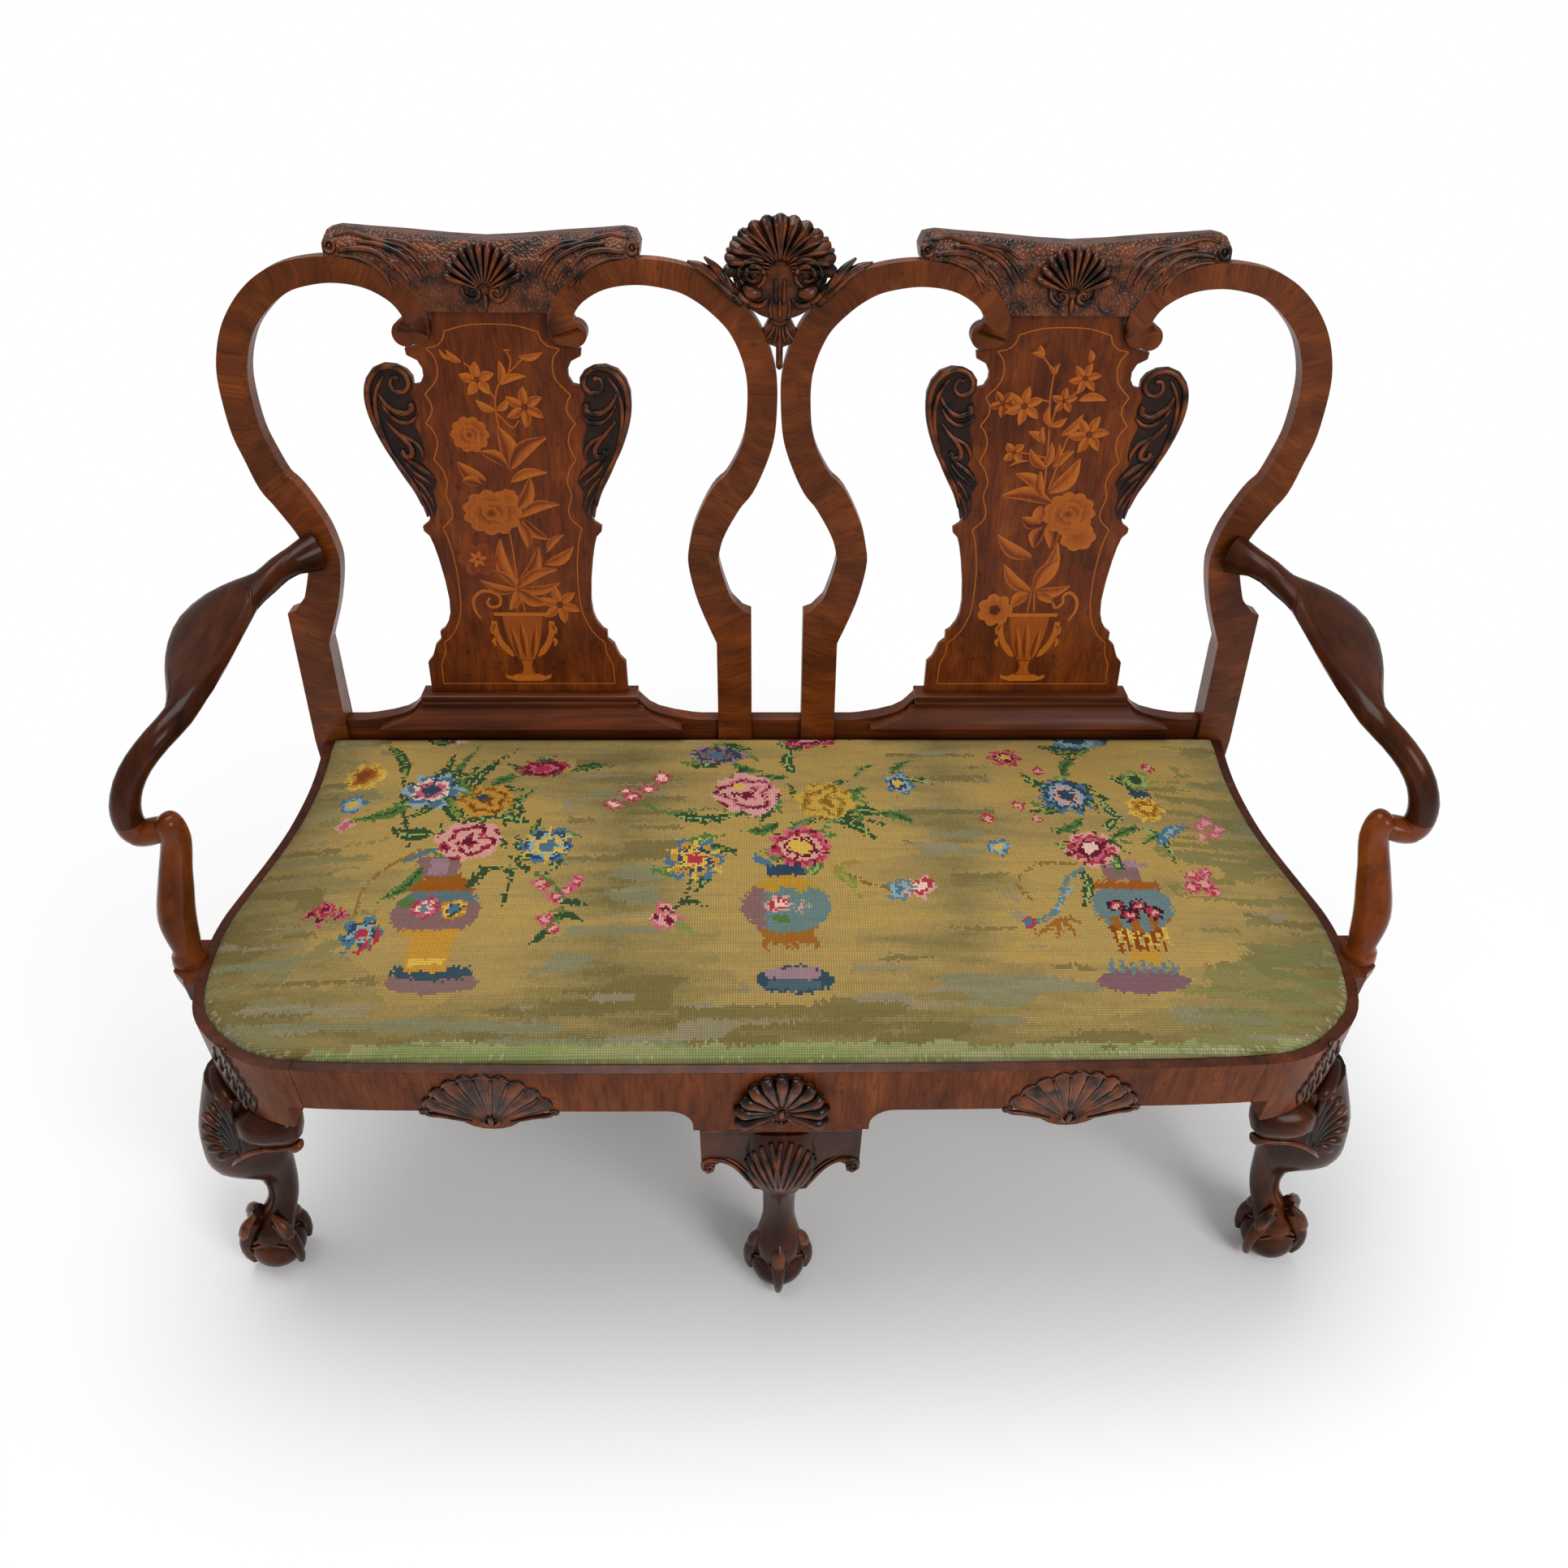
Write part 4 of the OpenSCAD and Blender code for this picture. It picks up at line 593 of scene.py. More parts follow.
right_leaves = [
    ((-2, 205), (-39, 241), 8, 0.5), ((-3, 206), (22, 269), 9.5, 0.55), ((0, 206), (28, 249), 7, 0.6),
    ((3, 206), (44, 213), 7, 0.5), ((6, 201), (25, 191), 6.5, 0.5), ((-5, 203), (-25, 184), 8, 0.45),
    ((-7, 250), (-50, 278), 9, 0.6), ((9, 318), (-51, 326), 9, 0.7), ((-3, 314), (-9, 292), 9, 0.5),
    ((-2, 330), (-37, 353), 7.5, 0.55), ((-3, 326), (-8, 356), 6, 0.6), ((4, 330), (35, 371), 9.5, 0.45),
    ((-2, 292), (-24, 300), 8, 0.9), ((2, 288), (-6, 262), 9, 0.9), ((8, 292), (14, 262), 9, 0.8),
    ((-7, 358), (0, 390), 5, 0.5), ((-4, 360), (-24, 382), 5.5, 0.6), ((5, 360), (9, 388), 4, 0.5),
    ((10, 362), (27, 380), 4.6, 0.5), ((-10, 390), (-28, 402), 4.5, 0.4), ((-9, 388), (-12, 408), 4, 0.5),
    ((10, 398), (31, 422), 5, 0.4), ((-5, 408), (-8, 431), 4.2, 0.4), ((-4, 409), (14, 418), 4, 0.4),
    ((24, 438), (55, 438), 5, 0.35), ((31, 479), (30, 493), 3.6, 0.4), ((-20, 486), (-26, 498), 3.6, 0.5),
    ((-20, 484), (-34, 489), 3, 0.4), ((-6, 466), (-2, 478), 2.6, 0.5), ((-8, 466), (-14, 476), 2.4, 0.5),
    ((-45, 362), (-24, 368), 1.6, 0.3),
]
right_stems = [
    [(-2, 330), (-3, 372), (-5, 408), (-8, 440), (-7, 470)], [(3, 335), (12, 372), (18, 396), (30, 402)],
    [(-5, 404), (2, 430), (18, 444), (28, 456)], [(-8, 470), (-20, 484)], [(-5, 372), (-22, 376), (-34, 378)],
    [(-4, 178), (-2, 204)], [(4, 178), (2, 204)], [(-8, 436), (-26, 440)],
]
right_scroll = [
    (48, 166, 1), (55, 180, 1.8), (55, 194, 2), (46, 204, 2), (38, 200, 1.6), (38, 190, 1.8), (30, 184, 1.6),
    (26, 191, 1.2),
]


# Where plates lie over each other in the drawing, each kind lies at its own height, in millimetres.
LINE_UP, STEM_UP, URN_UP, URN_LEAF_UP, LEAF_UP = 0.1, 0.12, 0.14, 0.18, 0.2
LINE_HALF, STEM_HALF, SCROLL_HALF = 0.6, 0.9, 2.0
urn_scorch = {"bowl": 0.4, "stem": 0.3, "foot": 0.08, "rim": 0.08}
bloom_kinds = {"rose": inlay_rose, "disc": inlay_disc, "flower": inlay_flower}


def marquetry(name, side, leaves, stems, scroll, blooms):
    """The inlaid picture of one splat, as thin plates let into the veneer."""
    bm = bmesh.new()
    tones = bm.verts.layers.float.new("scorch")
    for flip in (1, -1):
        for run in on_side(flip, line_runs):
            inlay_strip(bm, tones, run, LINE_HALF, 0.12, LINE_UP)
        for run in on_side(flip, handle):
            inlay_strip(bm, tones, run, STEM_HALF, 0.12, STEM_UP)
    for run in stems:
        inlay_strip(bm, tones, run, STEM_HALF, 0.25, STEM_UP)
    inlay_strip(bm, tones, scroll, SCROLL_HALF, 0.15, STEM_UP)
    for part_name, outline in urn.items():
        verts = [bm.verts.new((x, y, URN_UP)) for x, y in outline]
        for vert in verts:
            vert[tones] = urn_scorch[part_name]
        bm.faces.new(verts)
    for root, tip, half in urn_leaves:
        inlay_leaf(bm, tones, root, tip, half, 0.75, URN_LEAF_UP, bend=0.0)
    for k, (root, tip, half, scorch) in enumerate(leaves):
        inlay_leaf(bm, tones, root, tip, half, scorch, LEAF_UP + 0.012 * k, bend=0.12 * (-1) ** k)
    for kind, *values in blooms:
        bloom_kinds[kind](bm, tones, *values)
    bmesh.ops.recalc_face_normals(bm, faces=bm.faces)
    for face in bm.faces:
        if face.normal.z < 0:
            face.normal_flip()
    raised = bmesh.ops.extrude_face_region(bm, geom=bm.faces[:], use_keep_orig=True)
    backs = [g for g in raised["geom"] if isinstance(g, bmesh.types.BMVert)]
    bmesh.ops.translate(bm, verts=backs, vec=(0, 0, -0.9))
    bmesh.ops.recalc_face_normals(bm, faces=bm.faces)
    # The heights are pressed together so that the whole picture lies nearly flush.
    bmesh.ops.scale(bm, verts=bm.verts, vec=(1, 1, 0.6))
    bmesh.ops.transform(bm, matrix=back_plane(side, SPLAT_FACE), verts=bm.verts)
    finish_mesh(name, bm, inlay)


marquetry("inlay_left", -1, left_leaves, left_stems, left_scroll, [
    ("rose", -21, 304, 35, 28, 11, 0.75, 0.55), ("disc", -1, 322, 12, 11, 7, 0.16, 0.2, 0.4, 0.7),
    ("rose", -36, 396, 22, 21, 10, 0.7, 0.55), ("disc", -45, 246, 24, 23, 6, 0.3, 0.55, 0.75, 0.5),
    ("flower", -45, 246, 11, 6, 10, 0.25, 0.56), ("flower", -21, 457, 20, 5, 20, 0.35, 0.56),
    ("flower", 28, 427, 23, 6, 30, 0.5, 0.56), ("flower", 47, 187, 25, 6, 40, 0.35, 0.58)])
marquetry("inlay_right", 1, right_leaves, right_stems, right_scroll, [
    ("rose", 31, 305, 31, 27, 11, 0.7, 0.62), ("disc", 45, 276, 22, 18, 7, 0.15, 0.15, 0.5, 0.57),
    ("disc", -44, 181, 22, 22, 7, 0.2, 0.1, 0.5, 0.6), ("disc", -44, 181, 7, 7, 5, 0.2, 0.9, 0.9, 0.63),
    ("flower", 41, 399, 23, 6, 5, 0.45, 0.6), ("flower", -36, 431, 22, 6, 20, 0.4, 0.6),
    ("flower", -60, 434, 16, 5, 50, 0.7, 0.55), ("flower", 8, 437, 15, 5, 15, 0.5, 0.6),
    ("flower", 28, 462, 18, 6, 10, 0.45, 0.6), ("flower", -42, 378, 14, 4, 40, 0.45, 0.6)])

# Crests.
# Each crest is a walnut block tenoned over the splat and let in between the hoops. Its top rolls
# back. The ground is punched with small dots, and leaves sweep from a shell to two corner roundels.
dressed(["crest_left", "crest_right"], punched, edge_mm=1.2)
dressed(["crest_shell_left", "crest_shell_right"], plain_carved, edge_mm=0.8)


def shell_ribs(centre, radius, squeeze, lobes, first, last, fill=0.34, inner=0.14):
    """Ridges along a shell's lobes, each swelling towards the rim."""
    strokes = []
    for k in range(lobes):
        a = math.radians(first + (last - first) * (k + 0.5) / lobes)
        spread = radius * math.radians((last - first) / lobes)
        ax, ay = math.cos(a) * squeeze, math.sin(a)
        strokes.append([(centre[0] + radius * q * ax, centre[1] + radius * q * ay, spread * fill * w)
                        for q, w in ((inner, 0.18), (0.35, 0.45), (0.6, 0.72), (0.84, 1.0), (0.985, 0.8))])
    return strokes


crest_half = [
    [(152, 603, 1.6), (135, 606, 2.8), (115, 602, 3), (95, 597, 2.6), (75, 594, 1.6)],
    [(147, 590, 2.2), (135, 592, 3.2), (120, 592, 3.4), (106, 588, 3.2), (96, 580, 2.6), (92, 572, 1.4)],
    [(128, 598, 1.6), (110, 597, 2.8), (93, 592, 3), (78, 584, 3), (68, 572, 2.6), (63, 562, 1.4)],
    [(112, 600, 1.6), (95, 600, 2.6), (80, 598, 2.6), (68, 593, 2), (60, 587, 1)],
    [(104, 585, 1.4), (92, 578, 2.2), (82, 568, 2.4), (76, 558, 1.2)],
    [(150, 585, 1.5), (130, 584, 2), (112, 577, 2.2), (98, 566, 2), (88, 556, 1)],
    [(120, 582, 1), (108, 574, 2), (99, 562, 2.2), (96, 553, 1)],
    [(88, 597, 1), (74, 590, 2), (62, 578, 2.2), (55, 566, 1)],
    [(24, 560, 1.4), (23, 550, 2.8), (15, 543, 3.4), (7, 546, 3.2), (7, 553, 2.8), (13, 554, 2.4),
     (14, 550, 2.2)],
]
crest_tongue = [(0, 549, 2.4), (0, 543, 3.6), (0, 537, 2.6), (0, 531, 0.8)]
crest_flutes = shell_ribs((0, 553), 48.5, 0.88, 11, 12, 168)
ROUNDEL_X, ROUNDEL_UP, ROUNDEL_R, ROUNDEL_HALF = 156, 594, 5.2, 2.2
roundel = [[(ROUNDEL_X + ROUNDEL_R * math.cos(t), ROUNDEL_UP + ROUNDEL_R * math.sin(t), ROUNDEL_HALF)
            for t in np.linspace(0, 6.0, 9)],
           [(ROUNDEL_X, ROUNDEL_UP - 1, ROUNDEL_HALF), (ROUNDEL_X, ROUNDEL_UP + 1.5, ROUNDEL_HALF)]]
for side, word in ((-1, "left"), (1, "right")):
    ground = ["crest_" + word, "crest_shell_" + word]
    for name, strokes, lift in (("crest_leaves_", mirrored(crest_half) + [crest_tongue], 0.5),
                                ("crest_flutes_", crest_flutes, 0.42),
                                ("crest_roundels_", mirrored(roundel), 0.6)):
        carve(name + word, strokes, back_plane(side), ground, ridge_walnut, lift)

# Finial.
# It fills the fork between the two chair backs: a ribbed shell over two volutes, with leaves that
# run down the hoops on both sides, and a bell-shaped drop under it. All are carved from one block.
FINIAL_NODES = ["finial_shell", "finial_base", "finial_pendant", "hoop_inner_left", "hoop_inner_right"]
dressed(["finial_shell"], plain_carved, edge_mm=0.8)
dressed(["finial_base", "finial_pendant"], plain_carved, edge_mm=1.5)
flute_root, side_tips_from = 577, 40
finial_tips = [(6, 631), (19, 629), (31, 624), (43, 617), (53, 608), (60, 596), (58, 582)]
flutes = []
for tip_x, tip_y in finial_tips:
    # The side flutes droop a little on their way out.
    droop = 5 * (tip_x > side_tips_from)
    flutes.append([(tip_x * q ** 1.25,
                    flute_root + (tip_y - flute_root) * q + droop * math.sin(math.pi * q), w)
                   for q, w in ((0.14, 0.7), (0.35, 1.3), (0.6, 2.0), (0.82, 2.8), (0.91, 2.8), (0.95, 1.6))])
carve("finial_flutes", mirrored(flutes), back_plane(0), FINIAL_NODES, ridge_walnut, lift=0.5)
eye_x, eye_up = 28, 571
volutes = [
    [(eye_x + r * math.cos(t), eye_up + r * math.sin(t), w) for t, r, w in
     zip(np.linspace(2.2, -8.4, 21), np.linspace(18, 5.5, 21), np.linspace(2.2, 3.4, 21))],
    [(eye_x + 1.2, eye_up - 1, 4.4), (eye_x - 1.2, eye_up + 1, 4.4)],
    [(47, 566, 1.2), (45, 555, 3.4), (39, 547, 4.4), (32, 543, 3.4)],
    [(36, 548, 1.6), (29, 541, 3.6), (20, 540, 3.6), (13, 546, 2.2)],
    [(58, 574, 2), (53, 562, 3.4), (47, 553, 2)],
    [(4.5, 566, 1.8), (4.5, 552, 2.4), (4, 541, 1.4)],
    [(9, 546, 1.4), (10.5, 536, 2.2), (8.5, 526, 1.8)],
    [(39, 561, 4), (30, 553, 8.5), (19, 552, 5)],
]
# The leaves stand clear of the hoops, so their rows also say how far forward they are.
wings = [[(40, 540, 1, 3), (54, 554, 1, 6), (68, 568, 0, 6.5), (83, 578, -1, 5), (97, 583, -2, 1.4)],
         [(44, 552, 3, 3), (56, 564, 3, 5.5), (67, 577, 2, 5), (79, 588, 1, 1.4)],
         [(48, 548, 5, 1.5), (60, 559, 6, 2.4), (74, 570, 5, 2.4), (90, 579, 3, 1)]]
carve("finial_wings", mirrored(wings), back_plane(0), None, ridge_walnut)
carve("finial_volutes", mirrored(volutes), back_plane(0), FINIAL_NODES, ridge_walnut, lift=0.62)
drop_side = [[(6, 519, 1.4), (9, 511, 2.4), (15, 504, 1.8)], [(2.5, 518, 1.2), (4, 508, 2), (7, 501, 1.4)],
             [(8, 507.5, 3.2), (8.6, 506.6, 3.2)], [(14.5, 513, 2.6), (15, 512.2, 2.6)]]
drop_middle = [[(-11, 525, 1.4), (-5, 521.5, 1.8), (0, 520.5, 1.8), (5, 521.5, 1.8), (11, 525, 1.4)],
               [(0, 545, 2), (0, 534, 2.6), (0, 527, 1.6)],
               [(0, 516, 1.4), (0, 505, 2.4), (0, 492, 2), (0, 474, 0.8)]]
carve("finial_drop", mirrored(drop_side) + drop_middle, back_plane(0), FINIAL_NODES, ridge_walnut, lift=0.55,
      fallback=-0.004)

# Shells on the front rail.
# Three shells are carved of their own pieces of walnut and glued to the rail, which drops in a
# lobe under each. Their hollow flutes are black with polish and painted shade, and the ridges
# between are rubbed red.
def upright_plane(foot, out):
    """Matrix from (across, up, forward) in millimetres to metres, on an upright plane that faces out."""
    out, up = Vector((*out, 0)).normalized(), Vector((0, 0, 1))
    turn = Matrix((up.cross(out), up, out)).transposed().to_4x4()
    return Matrix.Translation(Vector(foot) / 1000) @ turn @ Matrix.Scale(0.001, 4)


def fan_out(root, tips, half, start=0.1, bow=0.0):
    """Ridges that part from a root and swell on their way to each tip."""
    return [[(root[0] + (x - root[0]) * q
              - bow * (y - root[1]) * math.sin(math.pi * q) * math.copysign(1, x - root[0]),
              root[1] + (y - root[1]) * q, half * w)
             for q, w in ((start, 0.25), (0.35, 0.5), (0.6, 0.75), (0.85, 1.0), (1.0, 0.75))]
            for x, y in tips]


CURL_TURNS, CURL_POINTS = 1.3, 15


def curl(x, y, radius, half, start=0.0):
    """A volute that winds in to its eye, with the eye itself."""
    wind = [(x + r * math.cos(t), y + r * math.sin(t), half * w) for t, r, w in
            zip(np.linspace(start, start - 2 * math.pi * CURL_TURNS, CURL_POINTS),
                np.linspace(radius, radius * 0.3, CURL_POINTS), np.linspace(0.7, 1.1, CURL_POINTS))]
    return [wind, [(x - 0.6, y, half * 1.25), (x + 0.6, y, half * 1.25)]]


dressed(["apron_shell_left", "apron_shell_middle", "apron_shell_right"], plain_carved,
        edge_mm=0.7)
# The outer shells: nine lobes round a root low on the rail, wider than they are tall. The notches
# between lobes lie a little further in than their tips.
SHELL_TALL, LOBES, LOBE_ROOT, LOBE_SQUEEZE = 86.8, 9, 350.6, 0.835
NOTCH_ROOT, NOTCH_SQUEEZE, NOTCH_SHARE, RIB_SHARE = 351.6, 0.855, 0.93, 0.9


def on_notches(a, share):
    """A place on the line from the root to a notch."""
    return SHELL_TALL * share * NOTCH_SQUEEZE * math.cos(a), NOTCH_ROOT + SHELL_TALL * share * math.sin(a)


lobe_edges = [math.radians(22 + 136 * k / LOBES) for k in range(LOBES + 1)]
rim = []
for a, b in zip(lobe_edges, lobe_edges[1:]):
    rim.append((*on_notches(a, NOTCH_SHARE), 1.5))
    for share, reach in ((0.28, 0.985), (0.5, 1.0), (0.72, 0.985)):
        c = a + share * (b - a)
        rim.append((SHELL_TALL * reach * LOBE_SQUEEZE * math.cos(c),
                    LOBE_ROOT + SHELL_TALL * reach * math.sin(c), 2.4))
rim.append((*on_notches(lobe_edges[-1], NOTCH_SHARE), 1.5))
side_shell = [rim, [(0, 368, 2), (0, 358, 4.2), (0, 350, 2)]]
side_shell += fan_out((0, 351), [on_notches(a, RIB_SHARE) for a in lobe_edges[1:-1]], 2.2, 0.14)
side_shell += mirrored([[(70, 377, 1.4), (62, 369, 3), (48, 366, 2.8), (34, 361, 2.4), (20, 356, 1.8)],
                        [(9, 361, 1.4), (7, 354, 3), (2, 349, 2)]] + curl(67, 373, 6.5, 2.1))
middle_shell = shell_ribs((0, 374), 65, 0.7, 11, -24, 204, fill=0.33, inner=0.2)
middle_shell += [[(0, 376, 3), (0, 366, 3.6), (0, 357, 1.8)], [(0, 357, 1.4), (0, 348, 3), (0, 343, 1.2)]]
middle_shell += mirrored([[(6, 356, 1.4), (3, 350, 3.4), (0, 345, 1.6)],
                          [(24, 360, 1.4), (32, 364, 2.4), (38, 358, 2), (30, 352, 1.6), (18, 350, 1)]]
                         + curl(14, 362, 8, 2.4))
SHELL_APART = 300
FRONT = upright_plane((0, -Y_MIDDLE, 0), (0, -1))
for side, strokes, word in ((-1, side_shell, "left"), (0, middle_shell, "middle"), (1, side_shell, "right")):
    place = upright_plane((side * SHELL_APART, -Y_MIDDLE, 0), (0, -1))
    carve("apron_flutes_" + word, strokes, place, ["apron_shell_" + word, "front_rail"], ridge_walnut,
          lift=0.5)

# Middle leg.
# One plank with scrolled ears, dowelled under the rail's drop, and a cabriole leg that grows from it
# to a ball held by a claw. A shell is carved on its knee.
# The legs are one dark, close-grained wood, rubbed smooth, so they shine more than the rail.
leg_walnut = walnut("walnut_legs", "#210E07", "#3C1B0C", "#663012", (60, 60, 110), knots=0.3,
                    rough=(0.2, 0.3), shine=0.12, coat=0.08)
dressed(["front_leg_middle"], leg_walnut, edge_mm=1.2)
knee_tips = [(0, 323), (11, 322), (21, 317), (29, 307), (35, 294), (37, 279), (34, 264), (28, 250), (20, 238)]
knee = fan_out((0, 212), knee_tips + [(-x, y) for x, y in knee_tips[1:]], 3.7, 0.12, bow=0.05)
carve("middle_knee_shell", knee, FRONT, ["front_leg_middle"], ridge_walnut, lift=0.45)
ears = curl(78, 263, 8.8, 1.9, start=2.4)
ears += [[(84, 262, 1.6), (84, 273, 2.4), (77, 279, 2.8), (64, 278, 2.8), (53, 270, 2.6), (43, 255, 2.4),
          (36, 240, 2.2), (28, 221, 1.4)],
         [(60, 282, 0.8), (50, 275, 1.6), (41, 262, 1.6), (33, 246, 0.8)]]
plank_bead = [(-85, 337, 2.6), (0, 337, 2.6), (85, 337, 2.6)]
carve("middle_ears", mirrored(ears) + [plank_bead], FRONT, ["front_leg_middle"], plain_carved, lift=0.6)

# Claw feet.
# Four toes grip a ball, all cut from the leg's own block. Each toe has two knuckles and a talon, and
# webs of skin hang between the toes over the top of the ball.
claw_walnut = carved_finish("walnut_claws", "#190C08", "#3C1F12", "#753A1C", ribs=False)
toe = [(0, 96, 12, 3), (0, 84, 23, 7), (0, 72, 29, 8.2), (0, 59, 31, 6), (0, 47, 34, 7.2), (0, 34, 33.5, 6.2),
       (0, 23, 30, 5.2), (0, 15, 25.5, 3)]
BALL_R, WEB_MIDDLE_Z, WEB_LEAST_R, WEB_PROUD = 33, 30, 15, 1.2


def claw(name, centre, angles):
    """Knuckled toes at those angles round a ball's centre, and webs between neighbours."""
    for number, angle in enumerate(angles):
        a = math.radians(angle)
        place = upright_plane((*centre, 0), (math.cos(a), math.sin(a)))
        carve(f"{name}_toe_{number}", [toe], place, None, claw_walnut)
    webs = []
    ordered = sorted(angles)
    for first, after in zip(ordered, ordered[1:] + [ordered[0] + 360]):
        for low, lift_up, half in ((48, 15, 3.6), (42, 14, 2.0)):
            web = []
            for t in np.linspace(0.08, 0.92, 9):
                a, z = math.radians(first + (after - first) * t), low + lift_up * math.sin(math.pi * t)
                r = math.sqrt(max(BALL_R ** 2 - (z - WEB_MIDDLE_Z) ** 2, WEB_LEAST_R ** 2)) + WEB_PROUD
                web.append((r * math.cos(a), r * math.sin(a), z, half))
            webs.append(web)
    flat = Matrix.Translation(Vector((*centre, 0)) / 1000) @ Matrix.Scale(0.001, 4)
    carve(name + "_webs", webs, flat, None, claw_walnut)


MIDDLE_BALL_Y = 22
claw("middle_claw", (0, MIDDLE_BALL_Y - Y_MIDDLE), [-90, 0, 90, 180])

# Corner legs.
# Cabriole legs set at 45 degrees, each with a shell on its knee, smooth rolled brackets at both
# sides, and a band of husks that climbs the rail above it.
dressed(["front_leg_left", "front_leg_right"], leg_walnut, edge_mm=0)
WORLD = Matrix.Scale(0.001, 4)
# Carvings that no plane suits are read off the photograph. A row is a place in it, in pixels, and a
# half width in millimetres, and the ray through that place is followed to the CAD surface.
EYE = Vector((-25.745, -761.267 - Y_MIDDLE, 1520.072)) / 1000
YAW, PITCH, ROLL = 1.662, 42.221, -1.0453
FOCAL_PX, MIDDLE_PX = 1596.49, 966


def camera_axes(yaw, pitch, roll):
    """Right, down and forward of a camera, from its angles in degrees."""
    yaw, pitch, roll = (math.radians(a) for a in (yaw, pitch, roll))
    forward = Vector((math.sin(yaw) * math.cos(pitch), math.cos(yaw) * math.cos(pitch), -math.sin(pitch)))
    right = Vector((math.cos(yaw), -math.sin(yaw), 0))
    down = forward.cross(right)
    return (right * math.cos(roll) + down * math.sin(roll), down * math.cos(roll) - right * math.sin(roll),
            forward)


right, down, forward = camera_axes(YAW, PITCH, ROLL)


def seen(strokes, nodes, flip, lift):
    """Strokes read off the photograph, laid on the surface of the nodes. flip turns them to the right."""
    under = ground_under(nodes)
    made = []
    for stroke in strokes:
        rows = []
        for px, py, half in stroke:
            ray = right * (px - MIDDLE_PX) + down * (py - MIDDLE_PX) + forward * FOCAL_PX
            hit, normal = under.ray_cast(EYE, ray.normalized())[:2]
            if hit:
                spot = hit * 1000 + normal * (2 * lift - 1) * half
                rows.append((-spot.x if flip else spot.x, spot.y, spot.z, half))
        if len(rows) > 1:
            made.append(rows)
    return made


husk_line = [(264, 1293), (271, 1305), (279, 1317), (287, 1330), (295, 1342), (302, 1352)]
husk_strokes = []
for x, y in husk_line:
    husk_strokes += [[(x, y - 3, 1.2), (x, y + 6, 3.2), (x + 4, y + 13, 3), (x + 9, y + 21, 0.8)],
                     [(x + 5, y - 5, 1.2), (x + 11, y + 1, 3), (x + 13, y + 8, 2.8), (x + 13, y + 18, 0.8)]]
shell_tips = [(277, 1356), (265, 1353), (254, 1359), (248, 1372), (246, 1387), (247, 1402), (254, 1417),
              (267, 1429)]
root_x, root_y = 294, 1424
shell_strokes = []
for tip_x, tip_y in shell_tips:
    shell_strokes.append([(root_x + (tip_x - root_x) * q + 3.5 * math.sin(math.pi * q),
                           root_y + (tip_y - root_y) * q - 5 * math.sin(math.pi * q), w)
                          for q, w in ((0.1, 1.4), (0.3, 2.8), (0.55, 4.4), (0.78, 5.6), (0.93, 4.2))])
shell_strokes.append([(281, 1353, 1.4), (287, 1368, 2.2), (290, 1384, 2.4), (295, 1400, 2.4),
                      (300, 1412, 2.2), (296, 1426, 2.2), (282, 1437, 1.8)])
knee_tops = [[(262, 1314, 5), (266, 1326, 9), (272, 1339, 11), (280, 1352, 10), (288, 1364, 6)]]
# The brackets swell out of the knee, along the front rail and along the side rail, and end in a
# small scroll.
rolls = [[(584, -268, 305, 9), (574, -276, 307, 18), (558, -281, 310.5, 25), (536, -282, 312, 25),
          (522, -283, 312.5, 22), (515, -283, 313, 15), (512.5, -283, 313, 5)],
         [(590, -226, 304, 19), (596, -203, 308, 23), (598, -182, 311, 23), (598, -165, 312, 21),
          (598, -153, 313, 14), (598, -150, 313, 6)]]
under_roll = [[(514, -291, 294, 2), (522, -297, 290, 2.8), (538, -300, 290, 3), (556, -300, 288, 3),
               (572, -300, 281, 3), (586, -300, 270, 2.6), (597, -297, 255, 1.6)],
              [(516, -290, 292, 3), (519, -294, 288, 6), (524, -296, 286, 6), (529, -297, 288, 3)]]
LEG_X, LEG_Y, FOOT_OUT, FOOT_TURN = 572, 91.7, 57, math.radians(-45)
ball_x, ball_y = LEG_X + FOOT_OUT * math.cos(FOOT_TURN), LEG_Y + FOOT_OUT * math.sin(FOOT_TURN) - Y_MIDDLE
toe_angles = (-31, -149, 31, 149)
knee_nodes = ["front_leg_left", "knee_brackets_left"]
rail_nodes = ["corner_left", "front_rail", "side_rail_left"]
for side, word in ((-1, "left"), (1, "right")):
    for name, strokes, nodes, lift, finish in (("knee_shell_", shell_strokes, knee_nodes, 0.42, ridge_walnut),
                                               ("husks_", husk_strokes, rail_nodes, 0.5, ridge_walnut),
                                               ("knee_top_", knee_tops, knee_nodes, 0.3, leg_walnut)):
        carve("corner_" + name + word, seen(strokes, nodes, side > 0, lift), WORLD, None, finish)
    brackets = carve("bracket_rolls_" + word, on_side(side, rolls), WORLD, None, leg_walnut)
    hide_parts("knee_brackets_" + word)
    carve("bracket_moulding_" + word, on_side(side, under_roll), WORLD, None, plain_carved)
    claw("corner_claw_" + word, (side * ball_x, ball_y), [a if side > 0 else 180 - a for a in toe_angles])

# Arms.
# Shepherd's crook arms, sawn from thick walnut and rounded by hand: a flat-topped elbow curls out of
# the back post and meets, in a scarf joint, an upright that curves down to a block on the side rail.
# Hands and sleeves have worn and darkened the pads. The uprights keep the first, redder polish.
arm_walnut = walnut("walnut_arm_pads", "#260F05", "#3C1A09", "#54270F", (36, 150, 110), knots=0.25,
                    rough=(0.2, 0.3), shine=0.1, coat=0.1)
upright_walnut = walnut("walnut_arm_uprights", "#4C220A", "#6E3310", "#8C4718", (60, 60, 120), knots=0.35,
                        rough=(0.15, 0.24), shine=0.12, coat=0.16)
dressed(["arm_left", "arm_right"], arm_walnut, edge_mm=0)
dressed(["arm_support_left", "arm_support_right"], upright_walnut, edge_mm=0)
